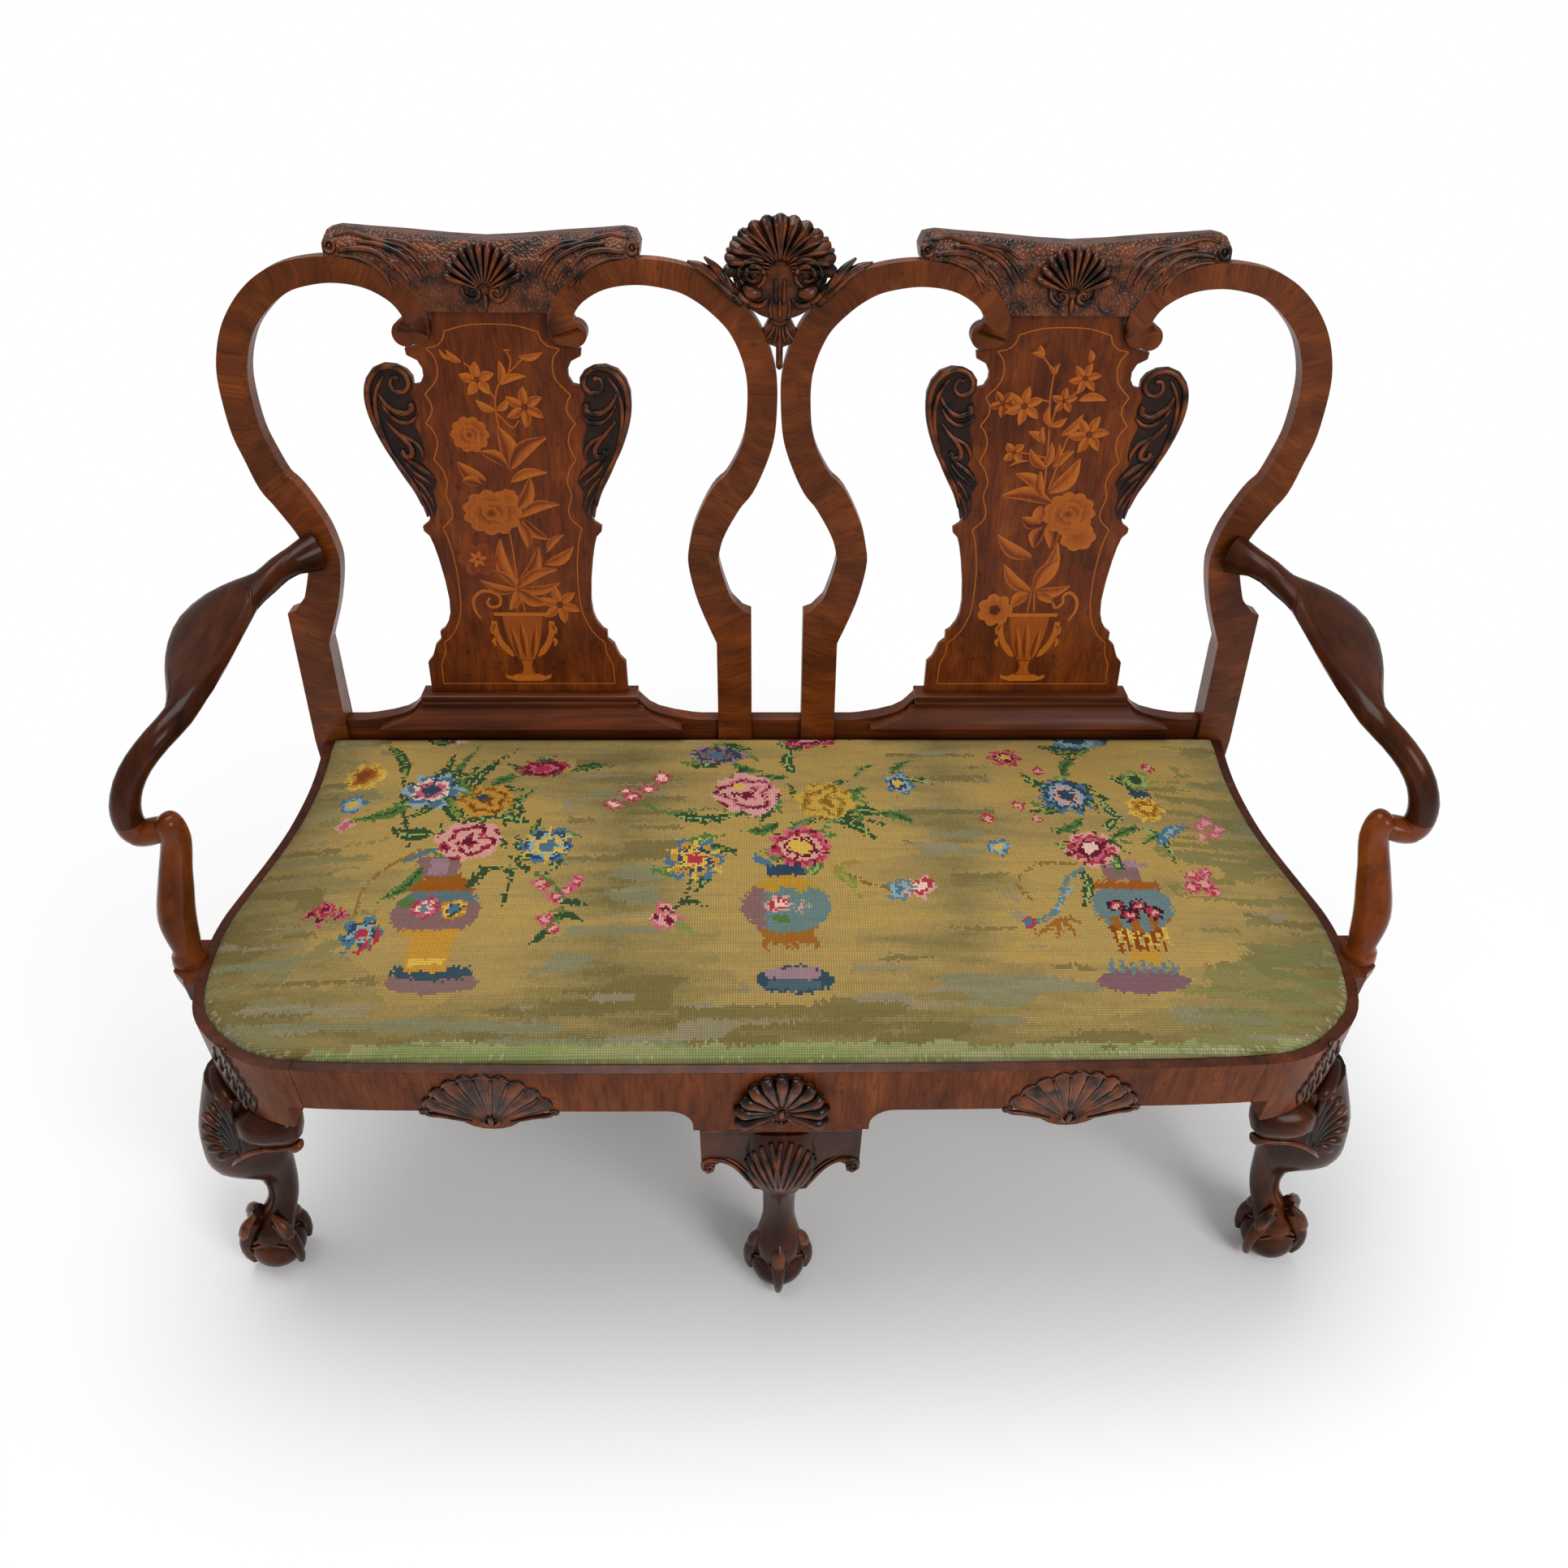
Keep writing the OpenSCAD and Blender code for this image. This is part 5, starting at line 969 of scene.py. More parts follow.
# The pad's top is dished a little inside a rounded rim.
pad_rim = [[(285, 715, 2), (297, 717, 2.6), (307, 725, 2.6), (309, 741, 2.6), (305, 765, 2.6),
            (297, 790, 2.6), (283, 820, 2.6), (262, 850, 2.2), (240, 873, 1)],
           [(285, 715, 2), (268, 718, 2.6), (247, 730, 2.6), (226, 750, 2.6), (212, 771, 2.6),
            (205, 796, 2.6), (206, 822, 2.6), (209, 848, 2.2), (205, 868, 1)]]
for side, word in ((-1, "left"), (1, "right")):
    rim = seen(pad_rim, ["arm_left"], side > 0, 0.2)
    carve("arm_pad_rim_" + word, rim, WORLD, None, arm_walnut)

# Inner frame, blocks and pins.
# Beech carries the veneer and the seat: it is pale, straight in the grain and left in the white. The
# arms are held by iron screws that have browned with age.
SEAT_BODY = "drop_in_seat"
beech = walnut("beech_in_the_white", "#A37A4C", "#B88F5E", "#C9A574", (14, 160, 14), rough=(0.55, 0.7))
dressed(["middle_rail", "glue_blocks", "hoop_dowels"], beech)
dressed(["slip_rail_front", "slip_rail_back", "slip_rail_left", "slip_rail_right", "slip_crossbar"],
        beech, body=SEAT_BODY)
iron, tree, principled = new_material("browned_iron", Metallic=0.85, Roughness=0.5)
rust = noise(tree, on_the_piece(tree), 400.0)
tree.links.new(ramp(tree, rust, [(0.35, "#2B2623"), (0.7, "#5A4436")]), principled.inputs["Base Color"])
dressed(["arm_screws"], iron, edge_mm=0)
dressed(["cover_tacks"], iron, body=SEAT_BODY, edge_mm=0)

# Webbing, hessian, stuffing and dust cover.
# Jute webs are strained across the frame and carry a hessian sheet and curled horse hair. A black
# cambric sheet closes the seat from below.


def woven(name, gap_shade, thread, thread_mm, rough=0.9):
    """Plain woven cloth: dull, with painted shade in the gaps between its threads. They are drawn at
    thread_mm.
    """
    material, tree, principled = new_material(name, Roughness=rough, Specular_IOR_Level=0.2)
    where = on_the_piece(tree)
    # A wave texture's bands repeat every 0.314 of a unit at scale 1.
    waves = [add(tree, "ShaderNodeTexWave", {"Vector": where, "Scale": 314.2 / thread_mm, "Distortion": 0.4},
                 bands_direction=axis).outputs["Fac"] for axis in "XY"]
    over = maths(tree, "MAXIMUM", *waves)
    # The darker colour is painted shade in the gaps between the threads.
    tree.links.new(ramp(tree, over, [(0.35, gap_shade), (0.85, thread)]), principled.inputs["Base Color"])
    embossed(tree, principled, over, 0.5, 0.0005)
    return material


for node, finish, slot in (("webbing", woven("jute_web", "#5E4A30", "#A08A62", 2.0), "jute_webbing"),
                           ("hessian", woven("hessian_sheet", "#5A4428", "#97794F", 1.6), "hessian_cloth"),
                           ("stuffing", woven("curled_hair", "#1C1512", "#4A3A30", 5.0, 1.0), "curled_hair"),
                           ("dust_cover", woven("black_cambric", "#0C0C0D", "#232326", 0.9),
                            "black_cambric")):
    dressed([node], finish, body=SEAT_BODY, edge_mm=0)

# Needlework cover.
# Wool worked in small crossed stitches on canvas, drawn over the stuffing and tacked under the
# frame: three vases of flowers on a ground of streaked fawn, olive and grey green. Every stitch
# here is one face of a grid; the real ones are 2 mm wide and are drawn 2.8 mm.
STITCH = 2.8
HALF_STITCHES, FIRST_ROW, ROWS = 218, 4, 180
COLUMNS = 2 * HALF_STITCHES
across = (np.arange(-HALF_STITCHES, HALF_STITCHES) + 0.5) * STITCH
deep = (np.arange(FIRST_ROW, FIRST_ROW + ROWS) + 0.5) * STITCH
SX, SY = np.meshgrid(across, deep)
canvas = np.zeros(SX.shape + (3,))
wool = np.random.default_rng(11)
# The streaks are drawn over a sheet a little larger than the cover.
SHEET_WIDE, SHEET_DEEP = 1240, 540


def streaks(cell_x, cell_y):
    """Soft noise over the grid, from 0 to 1, with its own step each way, in millimetres."""
    nx, ny = int(SHEET_WIDE / cell_x) + 3, int(SHEET_DEEP / cell_y) + 3
    dots = wool.random((ny, nx))
    u, v = (SX + SHEET_WIDE / 2) / cell_x, SY / cell_y
    i, j = np.floor(u).astype(int), np.floor(v).astype(int)
    fu, fv = u - i, v - j
    fu, fv = fu * fu * (3 - 2 * fu), fv * fv * (3 - 2 * fv)
    low = dots[j, i] * (1 - fu) + dots[j, i + 1] * fu
    high = dots[j + 1, i] * (1 - fu) + dots[j + 1, i + 1] * fu
    return low * (1 - fv) + high * fv


def stitch(mask, colour, mix=1.0):
    """Works the masked stitches in one wool."""
    canvas[mask] = canvas[mask] * (1 - mix) + np.array(linear(colour)[:3]) * mix


# A worker's hand strays by a stitch or two, so no flower is drawn quite true.
STRAY_MM = 9
hand_x, hand_y = SX + STRAY_MM * (streaks(24, 24) - 0.5), SY + STRAY_MM * (streaks(24, 24) - 0.5)


def round_mask(x, y, rx, ry, lobes=0, depth=0.0, turn=0.0):
    """Stitches inside an oval whose rim is lobed."""
    dx, dy = ((hand_x - x) / rx, (hand_y - y) / ry) if lobes else ((SX - x) / rx, (SY - y) / ry)
    rim = 1.0
    if lobes:
        rim = 1 - depth + depth * np.abs(np.cos(lobes * np.arctan2(dy, dx) / 2 + turn))
    return dx * dx + dy * dy < rim * rim


def oval(x, y, rx, ry, colour, lobes=0, depth=0.0, turn=0.0):
    """An oval of one wool, its rim lobed or plain."""
    stitch(round_mask(x, y, rx, ry, lobes, depth, turn), colour)


# The least half width that a line can have and still catch every stitch it crosses.
HALF_STITCH = 1.5


def line_mask(points):
    """Stitches within a bent stroke; each point is x, y, half width."""
    mask = np.zeros(SX.shape, bool)
    row = curve_through(points, 5)
    for (x0, y0, w0), (x1, y1, w1) in zip(row, row[1:]):
        length = math.hypot(x1 - x0, y1 - y0)
        for t in np.linspace(0, 1, max(2, int(length / 2))):
            reach = max(w0 + (w1 - w0) * t, HALF_STITCH)
            mask |= (SX - x0 - (x1 - x0) * t) ** 2 + (SY - y0 - (y1 - y0) * t) ** 2 < reach ** 2
    return mask


def stem(points, colour, half=1.9):
    """A bent line of even width."""
    stitch(line_mask([(*p, half) for p in points]), colour)


def leaf(root, tip, half, colour, rib=None, bend=0.12):
    """A leaf from its root to its tip, dark on one side of its rib."""
    (x0, y0), (x1, y1) = root, tip
    dx, dy = x1 - x0, y1 - y0
    rows = [(x0 + dx * t - dy * bend * math.sin(math.pi * t), y0 + dy * t + dx * bend * math.sin(math.pi * t),
             max(1.6, half * math.sin(math.pi * min(t + 0.06, 1)) ** 0.8)) for t in np.linspace(0, 1, 7)]
    stitch(line_mask(rows), colour)
    if rib:
        stitch(line_mask([(x, y, 1.6) for x, y, _ in rows[:-1]]), rib)


def spray(x, y, radius, squash):
    """Dark leaves that show from behind a flower."""
    for a in wool.uniform(0, 2 * math.pi, 6):
        reach = radius * wool.uniform(1.2, 1.55)
        tip = (x + reach * math.cos(a), y + reach * squash * math.sin(a))
        green = PINE if wool.random() > 0.4 else LEAF
        rib = SAGE if wool.random() > 0.5 else MOSS
        leaf((x, y), tip, radius * 0.2, green, rib, 0.25)


SPRAYED_FROM = 28


def bloom(x, y, radius, petals, wools, squash=1.0, turn=0.0, depth=0.28, gaps=None):
    """A flower of rings of petals, its wools given from the rim to the eye."""
    if radius > SPRAYED_FROM:
        spray(x, y, radius, squash)
    for k, colour in enumerate(wools):
        share = 1 - 0.86 * k / len(wools)
        oval(x, y, radius * share, radius * share * squash, colour, petals, depth * share, turn + 0.5 * k)
    if gaps:
        angle = np.arctan2((SY - y) / squash, SX - x)
        away = np.hypot(SX - x, (SY - y) / squash)
        between = np.abs(np.cos(petals * angle / 2 + turn)) < 0.2
        stitch(between & (away < radius * 0.95) & (away > radius * 0.3), gaps)


def rose(x, y, radius, squash, pale, deep_wool, dark, turn=0.0):
    """A full rose: a pale round, with curled lines of deeper wool between its petals."""
    spray(x, y, radius, squash)
    oval(x, y, radius, radius * squash, pale, 8, 0.14, turn)
    angle = np.arctan2((hand_y - y) / squash, hand_x - x)
    away = np.hypot(hand_x - x, (hand_y - y) / squash) / radius
    folds = np.sin(13 * away + 1.6 * np.sin(3 * angle + turn) + 1.3 * np.sin(5 * angle - 2 * turn))
    stitch((folds > 0.25) & (away < 0.9), deep_wool)
    stitch((folds > 0.82) & (away < 0.94), dark)
    stitch(away < 0.16, dark)


PINK, ROSE, RED, WINE, BLUSH = "#C58E84", "#B5586A", "#9E2F3C", "#5E1626", "#D9B3A2"
GOLD, AMBER, LEMON, RUST = "#B08230", "#8E5418", "#C7A243", "#7A3D14"
NAVY, BLUE, MIST, SLATE = "#2C3E50", "#47667A", "#8099A0", "#5C7272"
MAUVE, LILAC, PLUM = "#7A5A57", "#8E7078", "#4A2F3C"
PINE, LEAF, MOSS, SAGE = "#2E4528", "#4F6B34", "#75803C", "#8B9A5B"

# The ground: fawn close round the vases and flowers, olive and grey green between them.
low, fine = streaks(150, 26), streaks(46, 7)
near = np.zeros(SX.shape)
for centre_x in (-375, 15, 385):
    near = np.maximum(near, np.exp(-((SX - centre_x) / 175) ** 4 - ((SY - 320) / 250) ** 6))
tone = 0.62 * near + 0.5 * low + 0.36 * fine - 0.2
tints = ["#6E6239", "#78693F", "#807044", "#887646", "#907A4A", "#97804C", "#9C834B", "#A3874A"]
level = np.clip(((tone - 0.12) / 0.8 * len(tints)).astype(int), 0, len(tints) - 1)
for k, tint in enumerate(tints):
    stitch(level == k, tint)
cool = streaks(120, 13)
stitch((cool > 0.74) & (near < 0.6), "#78775A", 0.8)
stitch((cool < 0.2) & (near < 0.75), "#6B5F38", 0.8)
stitch((streaks(90, 9) > 0.82) & (near < 0.8), "#857C62", 0.8)
edge_band = SY + 7 * fine + 10 * low
stitch((edge_band < 34) & (SX > -470), "#7C8450")
stitch((edge_band < 40) & (fine > 0.5) & (SX > -430), "#88895A")
stitch((edge_band < 28) & (SX > 180), "#9C9670", 0.6)
stitch((SX + 90 * fine > 480) & (SY + 50 * low < 160) & (low + fine > 1.05), "#767344", 0.8)
stitch((SX + 120 * cool > 530) & (SY > 60) & (fine > 0.62), "#6F6C40", 0.8)
stitch((SX - 120 * cool < -530) & (fine > 0.66), "#77714A", 0.8)


def halo(x, y, rx, ry):
    """Pale fawn worked close round a figure."""
    stitch(round_mask(x, y, rx, ry, 9, 0.08), "#A0854C", 0.6)


# Left vase and its flowers.
halo(-372, 160, 74, 92)
oval(-363, 101, 49, 13, "#7A5E59")
oval(-366, 113, 45, 9, "#33464F")
for x in range(-404, -328, 12):
    stitch(line_mask([(x, 112, 3.2), (x + 2, 122, 1.6)]), "#33464F")
stitch((np.abs(SX + 372) < 22 + (SY - 122) * 0.06) & (SY > 116) & (SY < 172), GOLD)
stitch((np.abs(SX + 372) < 19) & (SY > 122) & (SY < 132), LEMON)
oval(-375, 196, 48, 38, MAUVE)
stitch(round_mask(-375, 196, 48, 38) & (SY > 210) & (SY < 228 + 4 * np.sign(np.sin(SX / 4))), "#53656A")
stitch(round_mask(-375, 196, 48, 40) & (SY < 172), GOLD)
stitch(round_mask(-375, 196, 42, 62) & (SY >= 228) & (SY < 252), "#8A4E14")
bloom(-387, 200, 18, 5, [RED, ROSE, BLUSH, SLATE], turn=0.3, depth=0.4)
bloom(-354, 197, 16, 4, ["#A9761F", LEMON, NAVY, BLUE], turn=0.8, depth=0.3)
oval(-409, 210, 8, 8, LEAF)
stitch((np.abs(SX + 384) < 24 + 0.05 * (SY - 252)) & (SY > 250) & (SY < 280), MAUVE)
stitch((np.abs(SX + 384) < 12) & (SY > 252) & (SY < 276), LILAC)
leaf((-425, 272), (-378, 292), 5, BLUE)
stem([(-452, 395), (-440, 350), (-425, 300)], PINE, 2.4)
leaf((-372, 330), (-400, 478), 8, PINE, MOSS)
leaf((-372, 335), (-374, 492), 7, LEAF, PINE)
leaf((-368, 335), (-326, 482), 7, PINE, SAGE)
leaf((-375, 330), (-358, 462), 6, MOSS, PINE)
leaf((-490, 490), (-452, 400), 7, PINE, MOSS)
leaf((-430, 380), (-500, 350), 9, LEAF, PINE)
leaf((-400, 320), (-450, 328), 10, PINE, SAGE)
leaf((-402, 265), (-442, 214), 8, LEAF, PINE)
leaf((-345, 228), (-322, 262), 5, PINE)
stem([(-335, 262), (-302, 256), (-300, 240), (-304, 204)], PINE, 2.6)
leaf((-345, 400), (-312, 424), 8, LEAF, PINE)
leaf((-318, 330), (-285, 402), 6, MOSS, PINE)
leaf((-330, 345), (-292, 332), 6, PINE, SAGE)
leaf((-252, 432), (-204, 443), 7, PINE, LEAF)
rose(-357, 305, 38, 0.9, PINK, RED, WINE, 0.4)
rose(-348, 376, 39, 0.8, GOLD, "#8E6418", "#6F3E14", 1.6)
oval(-352, 380, 7, 6, NAVY)
bloom(-416, 395, 38, 6, [MIST, BLUE, BLUSH, ROSE, NAVY], 0.9, depth=0.42, gaps=NAVY)
bloom(-505, 428, 25, 6, [LEMON, GOLD, AMBER, RUST], 1.05, turn=0.2)
bloom(-405, 514, 33, 5, [PINK, LEMON, BLUSH, ROSE], 0.5, depth=0.35, gaps=RED)
bloom(-287, 440, 33, 9, [RED, WINE, ROSE, RED], 0.58, depth=0.3, gaps=WINE)
bloom(-265, 296, 31, 6, [BLUE, NAVY, MIST, LEMON, BLUE], 1.05, depth=0.35, gaps=LEMON)
bloom(-508, 376, 16, 5, [BLUE, MIST, LEMON], depth=0.3)
bloom(-511, 341, 12, 4, [PINK, ROSE])
for x, y, r in ((-496, 206, 12), (-480, 196, 8), (-512, 198, 8), (-500, 186, 7)):
    bloom(x, y, r, 4, [RED, ROSE, WINE], depth=0.3)
bloom(-450, 168, 24, 5, [BLUE, NAVY, MIST, RED], 1.1, depth=0.5, gaps=GOLD)
for x, y in ((-462, 150), (-448, 146), (-436, 156)):
    leaf((x + 4, y + 16), (x, y - 8), 3.4, BLUE if x < -450 else RED)
stem([(-405, 292), (-440, 268), (-462, 232), (-462, 194)], "#80622F", 2.2)
for x, y, r in ((-262, 236, 13), (-246, 216, 11), (-227, 240, 11), (-252, 181, 12), (-238, 228, 8),
                (-243, 170, 8)):
    bloom(x, y, r, 4, [ROSE, RED, PINK], depth=0.35)
stem([(-304, 262), (-270, 250), (-240, 220), (-238, 190), (-262, 158)], LEAF, 1.9)
for root, tip in (((-240, 206), (-214, 204)), ((-244, 188), (-214, 181)), ((-252, 168), (-268, 150)),
                  ((-280, 255), (-296, 272))):
    leaf(root, tip, 4.5, PINE)

# Middle vase and its flowers.
halo(8, 165, 78, 92)
oval(15, 103, 41, 17, "#2F4450")
oval(13, 110, 31, 9, LILAC)
oval(14, 97, 30, 7, "#44585E")
stitch((np.abs(SX - 8) < 24 + 0.32 * (SY - 146)) & (SY > 148) & (SY < 180), "#8F5A20")
for x in range(-18, 40, 11):
    stitch(line_mask([(x, 152, 3), (x + 3, 138 + (x % 3) * 4, 1.6)]), "#8F5A20")
oval(7, 200, 49, 38, "#5F7470")
stitch(round_mask(7, 200, 49, 38) & (SX < -16 + 3 * np.sin(SY / 3)) & (SY < 228), MAUVE)
stitch(round_mask(7, 200, 49, 46) & (SY > 224 + 3 * np.sign(np.sin(SX / 5))) & (SY < 247), "#A9802A")
bloom(-2, 200, 14, 6, [PINK, RED, BLUSH], depth=0.35)
bloom(24, 196, 11, 5, ["#8D8B77", SLATE, PINK], depth=0.3)
oval(2, 182, 10, 5, LEAF)
stitch((np.abs(SX - 9) < 22) & (SY > 245) & (SY < 264), NAVY)
leaf((-8, 262), (-27, 280), 6, BLUE)
for root, tip, half, tint in (((70, 350), (132, 342), 8, PINE), ((60, 340), (112, 302), 8, PINE),
                              ((80, 372), (108, 396), 7, LEAF), ((120, 350), (160, 330), 7, LEAF),
                              ((150, 415), (186, 405), 6, PINE), ((140, 425), (168, 455), 6, LEAF),
                              ((-50, 345), (-132, 352), 7, PINE), ((-20, 430), (-58, 455), 7, LEAF),
                              ((20, 430), (18, 480), 7, PINE), ((0, 330), (-40, 318), 8, LEAF),
                              ((95, 420), (122, 446), 6, MOSS)):
    leaf(root, tip, half, tint, SAGE if tint == PINE else PINE)
stem([(-20, 340), (-70, 357), (-130, 350), (-165, 372), (-192, 366)], LEAF, 2)
stem([(30, 330), (72, 345), (120, 330)], PINE, 2.6)
bloom(25, 291, 37, 9, [ROSE, RED, PINK, WINE, LEMON], 0.92, depth=0.25, gaps=WINE)
oval(20, 293, 10, 9, LEMON)
rose(-36, 386, 43, 0.95, PINK, ROSE, WINE, 2.3)
oval(-46, 400, 8, 7, LEMON)
rose(58, 372, 35, 1.05, "#B8923A", "#96752C", "#7C5A1E", 0.9)
bloom(148, 405, 21, 5, [BLUE, MIST, NAVY, LEMON], depth=0.38)
bloom(-75, 470, 37, 6, [LILAC, NAVY, MAUVE, BLUE], 0.58, depth=0.32, gaps=PLUM)
bloom(45, 505, 41, 8, [RED, ROSE, WINE, PINK], 0.46, depth=0.25, gaps=WINE)
bloom(-95, 271, 37, 6, [BLUE, GOLD, NAVY, LEMON, RED], 0.95, depth=0.35, gaps=LEMON)
for x, y, r in ((-120, 181, 15), (-126, 201, 10), (-108, 172, 8), (-133, 186, 8)):
    bloom(x, y, r, 5, [ROSE, PINK, WINE], depth=0.35)
stem([(-98, 240), (-104, 215), (-118, 192)], PINE, 2)
leaf((-112, 205), (-82, 200), 4.5, PINE)
leaf((-116, 176), (-92, 160), 4.5, MOSS)
bloom(156, 226, 20, 5, [PINK, RED, BLUSH], 0.95, depth=0.4)
bloom(132, 224, 19, 5, [SLATE, MIST, BLUE], 0.95, depth=0.4)
stem([(72, 252), (90, 238), (122, 225)], "#7A5C2E", 2)
leaf((52, 262), (88, 212), 6, MOSS, "#A28A3A")
leaf((60, 250), (92, 268), 5, "#8C7A38")
for x, y, r in ((-195, 366, 11), (-172, 378, 10), (-155, 395, 11), (-140, 420, 12), (-180, 392, 7)):
    bloom(x, y, r, 4, [RED, ROSE, BLUSH], depth=0.35)

# Right vase and its flowers.
halo(385, 165, 78, 92)
oval(382, 100, 49, 15, "#74545A")
for x in range(350, 420, 11):
    stitch(line_mask([(x, 112, 3.4), (x + 1, 126, 1.7)]), SLATE)
stitch((np.abs(SX - 388) < 17) & (SY > 124) & (SY < 142), GOLD)
for x in range(362, 418, 10):
    stitch(line_mask([(x, 170, 3.2), (x + 2, 138, 1.7)]), RUST)
    stitch(line_mask([(x + 5, 168, 2.8), (x + 6, 146, 1.7)]), LEMON)
oval(390, 200, 45, 37, "#5F7272")
stitch(round_mask(390, 200, 45, 37) & (SY < 186) & (np.sin(SX / 3.2) > 0), AMBER)
for x, y in ((371, 201), (396, 202), (411, 192), (384, 188)):
    oval(x, y, 11, 9, "#2A1A22")
    oval(x, y, 8, 6.5, RED)
    oval(x + 1, y - 1, 4, 3.2, PINK)
stitch(round_mask(390, 200, 45, 60) & (SY > 228) & (SY < 241 + 3 * np.sign(np.sin(SX / 4.5))), "#8E4E1A")
stitch((np.abs(SX - 389) < 21) & (SY > 240) & (SY < 266), MAUVE)
oval(394, 266, 27, 5, LILAC)
for root, tip, half, tint in (((385, 320), (408, 342), 6, PINE), ((408, 342), (388, 382), 5, PINE),
                              ((395, 312), (432, 326), 6, LEAF), ((432, 326), (456, 274), 5, PINE),
                              ((352, 425), (378, 462), 7, LEAF), ((345, 252), (334, 200), 7, PINE),
                              ((410, 420), (440, 385), 7, PINE), ((360, 340), (318, 318), 7, LEAF),
                              ((330, 400), (300, 425), 6, PINE), ((425, 300), (470, 318), 6, MOSS),
                              ((370, 455), (362, 486), 6, PINE)):
    leaf(root, tip, half, tint, SAGE if tint == PINE else PINE)
bloom(360, 291, 33, 8, [PINK, RED, ROSE, WINE, BLUSH], 0.95, depth=0.28, gaps=WINE)
bloom(347, 381, 35, 10, [BLUE, NAVY, MIST, PINK, NAVY], 0.95, depth=0.35, gaps=NAVY)
bloom(385, 500, 40, 3, [NAVY, SLATE, MIST, NAVY], 0.55, depth=0.45)
bloom(286, 460, 21, 6, [RED, ROSE, WINE, LEMON], 0.9, depth=0.3)
for x, y, r in ((325, 433, 9), (460, 439, 9), (245, 340, 8), (285, 366, 8), (305, 336, 8)):
    bloom(x, y, r, 4, [RED, PINK], depth=0.3)
bloom(440, 361, 23, 9, [LEMON, GOLD, AMBER, LEMON], depth=0.28, gaps="#8A5E18")
bloom(440, 415, 19, 7, [MOSS, SAGE, PINE], 0.9, depth=0.3)
oval(440, 388, 14, 7, NAVY)
for x, y in ((510, 346), (522, 333), (498, 316), (514, 322), (500, 338)):
    bloom(x, y, 8, 4, [ROSE, PINK], depth=0.2)
leaf((444, 300), (484, 334), 8, BLUE, MIST)
for x, y, r in ((478, 240, 13), (466, 230, 9), (490, 230, 9), (484, 254, 9), (470, 250, 8)):
    bloom(x, y, r, 5, [ROSE, RED, PINK], depth=0.35)
bloom(255, 291, 13, 5, [BLUE, MIST, LEMON], depth=0.35)
stem([(345, 258), (322, 238), (312, 208), (292, 184), (268, 172)], SLATE, 3.4)
stem([(330, 232), (316, 214), (306, 196)], MIST, 1.8)
stem([(340, 264), (300, 266), (276, 250), (268, 230), (282, 205)], "#80602F", 2)
bloom(270, 176, 9, 4, [RED, BLUE], depth=0.3)
for root, tip in (((300, 180), (276, 160)), ((302, 180), (298, 156)), ((304, 180), (318, 160)),
                  ((306, 182), (326, 176))):
    leaf(root, tip, 3.2, "#8E5A26")

# A stitch strays here and there, and every length of wool took the dye a little differently.
stray = wool.random((2, *SX.shape))
STRAYS = 0.14
rows_from = np.clip(np.arange(ROWS)[:, None] + (stray[0] > 1 - STRAYS) - (stray[0] < STRAYS), 0, ROWS - 1)
columns_from = np.clip(np.arange(COLUMNS)[None, :] + (stray[1] > 1 - STRAYS) - (stray[1] < STRAYS),
                       0, COLUMNS - 1)
canvas = canvas[rows_from, columns_from]
canvas *= (1 + 0.09 * (wool.random(SX.shape) - 0.5) + 0.1 * (streaks(30, 3) - 0.5))[..., None]


# The cover's outline, felt from outside all round its CAD solid.
SEAT_MIDDLE, EDGE_Z = 260.6 - Y_MIDDLE, 444.4
FEEL_Z = 440
skin = ground_under(["needlework_cover"])
turns = np.linspace(-math.pi, math.pi, 2049)
seat_reach = []
for turn_to in turns:
    out = Vector((math.cos(turn_to), math.sin(turn_to), 0))
    hit = skin.ray_cast(Vector((0, SEAT_MIDDLE, FEEL_Z)) / 1000 + out, -out, 1.0)
    seat_reach.append(1000 - hit[3] * 1000)


def edge_share(x, y):
    """How far out points lie: 0 at the middle of the seat and 1 at its edge."""
    return np.hypot(x, y - SEAT_MIDDLE) / np.interp(np.arctan2(y - SEAT_MIDDLE, x), turns, seat_reach)


# The cover's turned edge: rows of how far under the edge, and how far out as a share.
EDGE_ROWS = ((4.0, 1.0018), (12.0, 1.0018), (20.0, 1.0))
SEAT_HALF, SEAT_DEEP, SEAT_REACH, RIM_SHARE = 616, 520, 300, 0.998


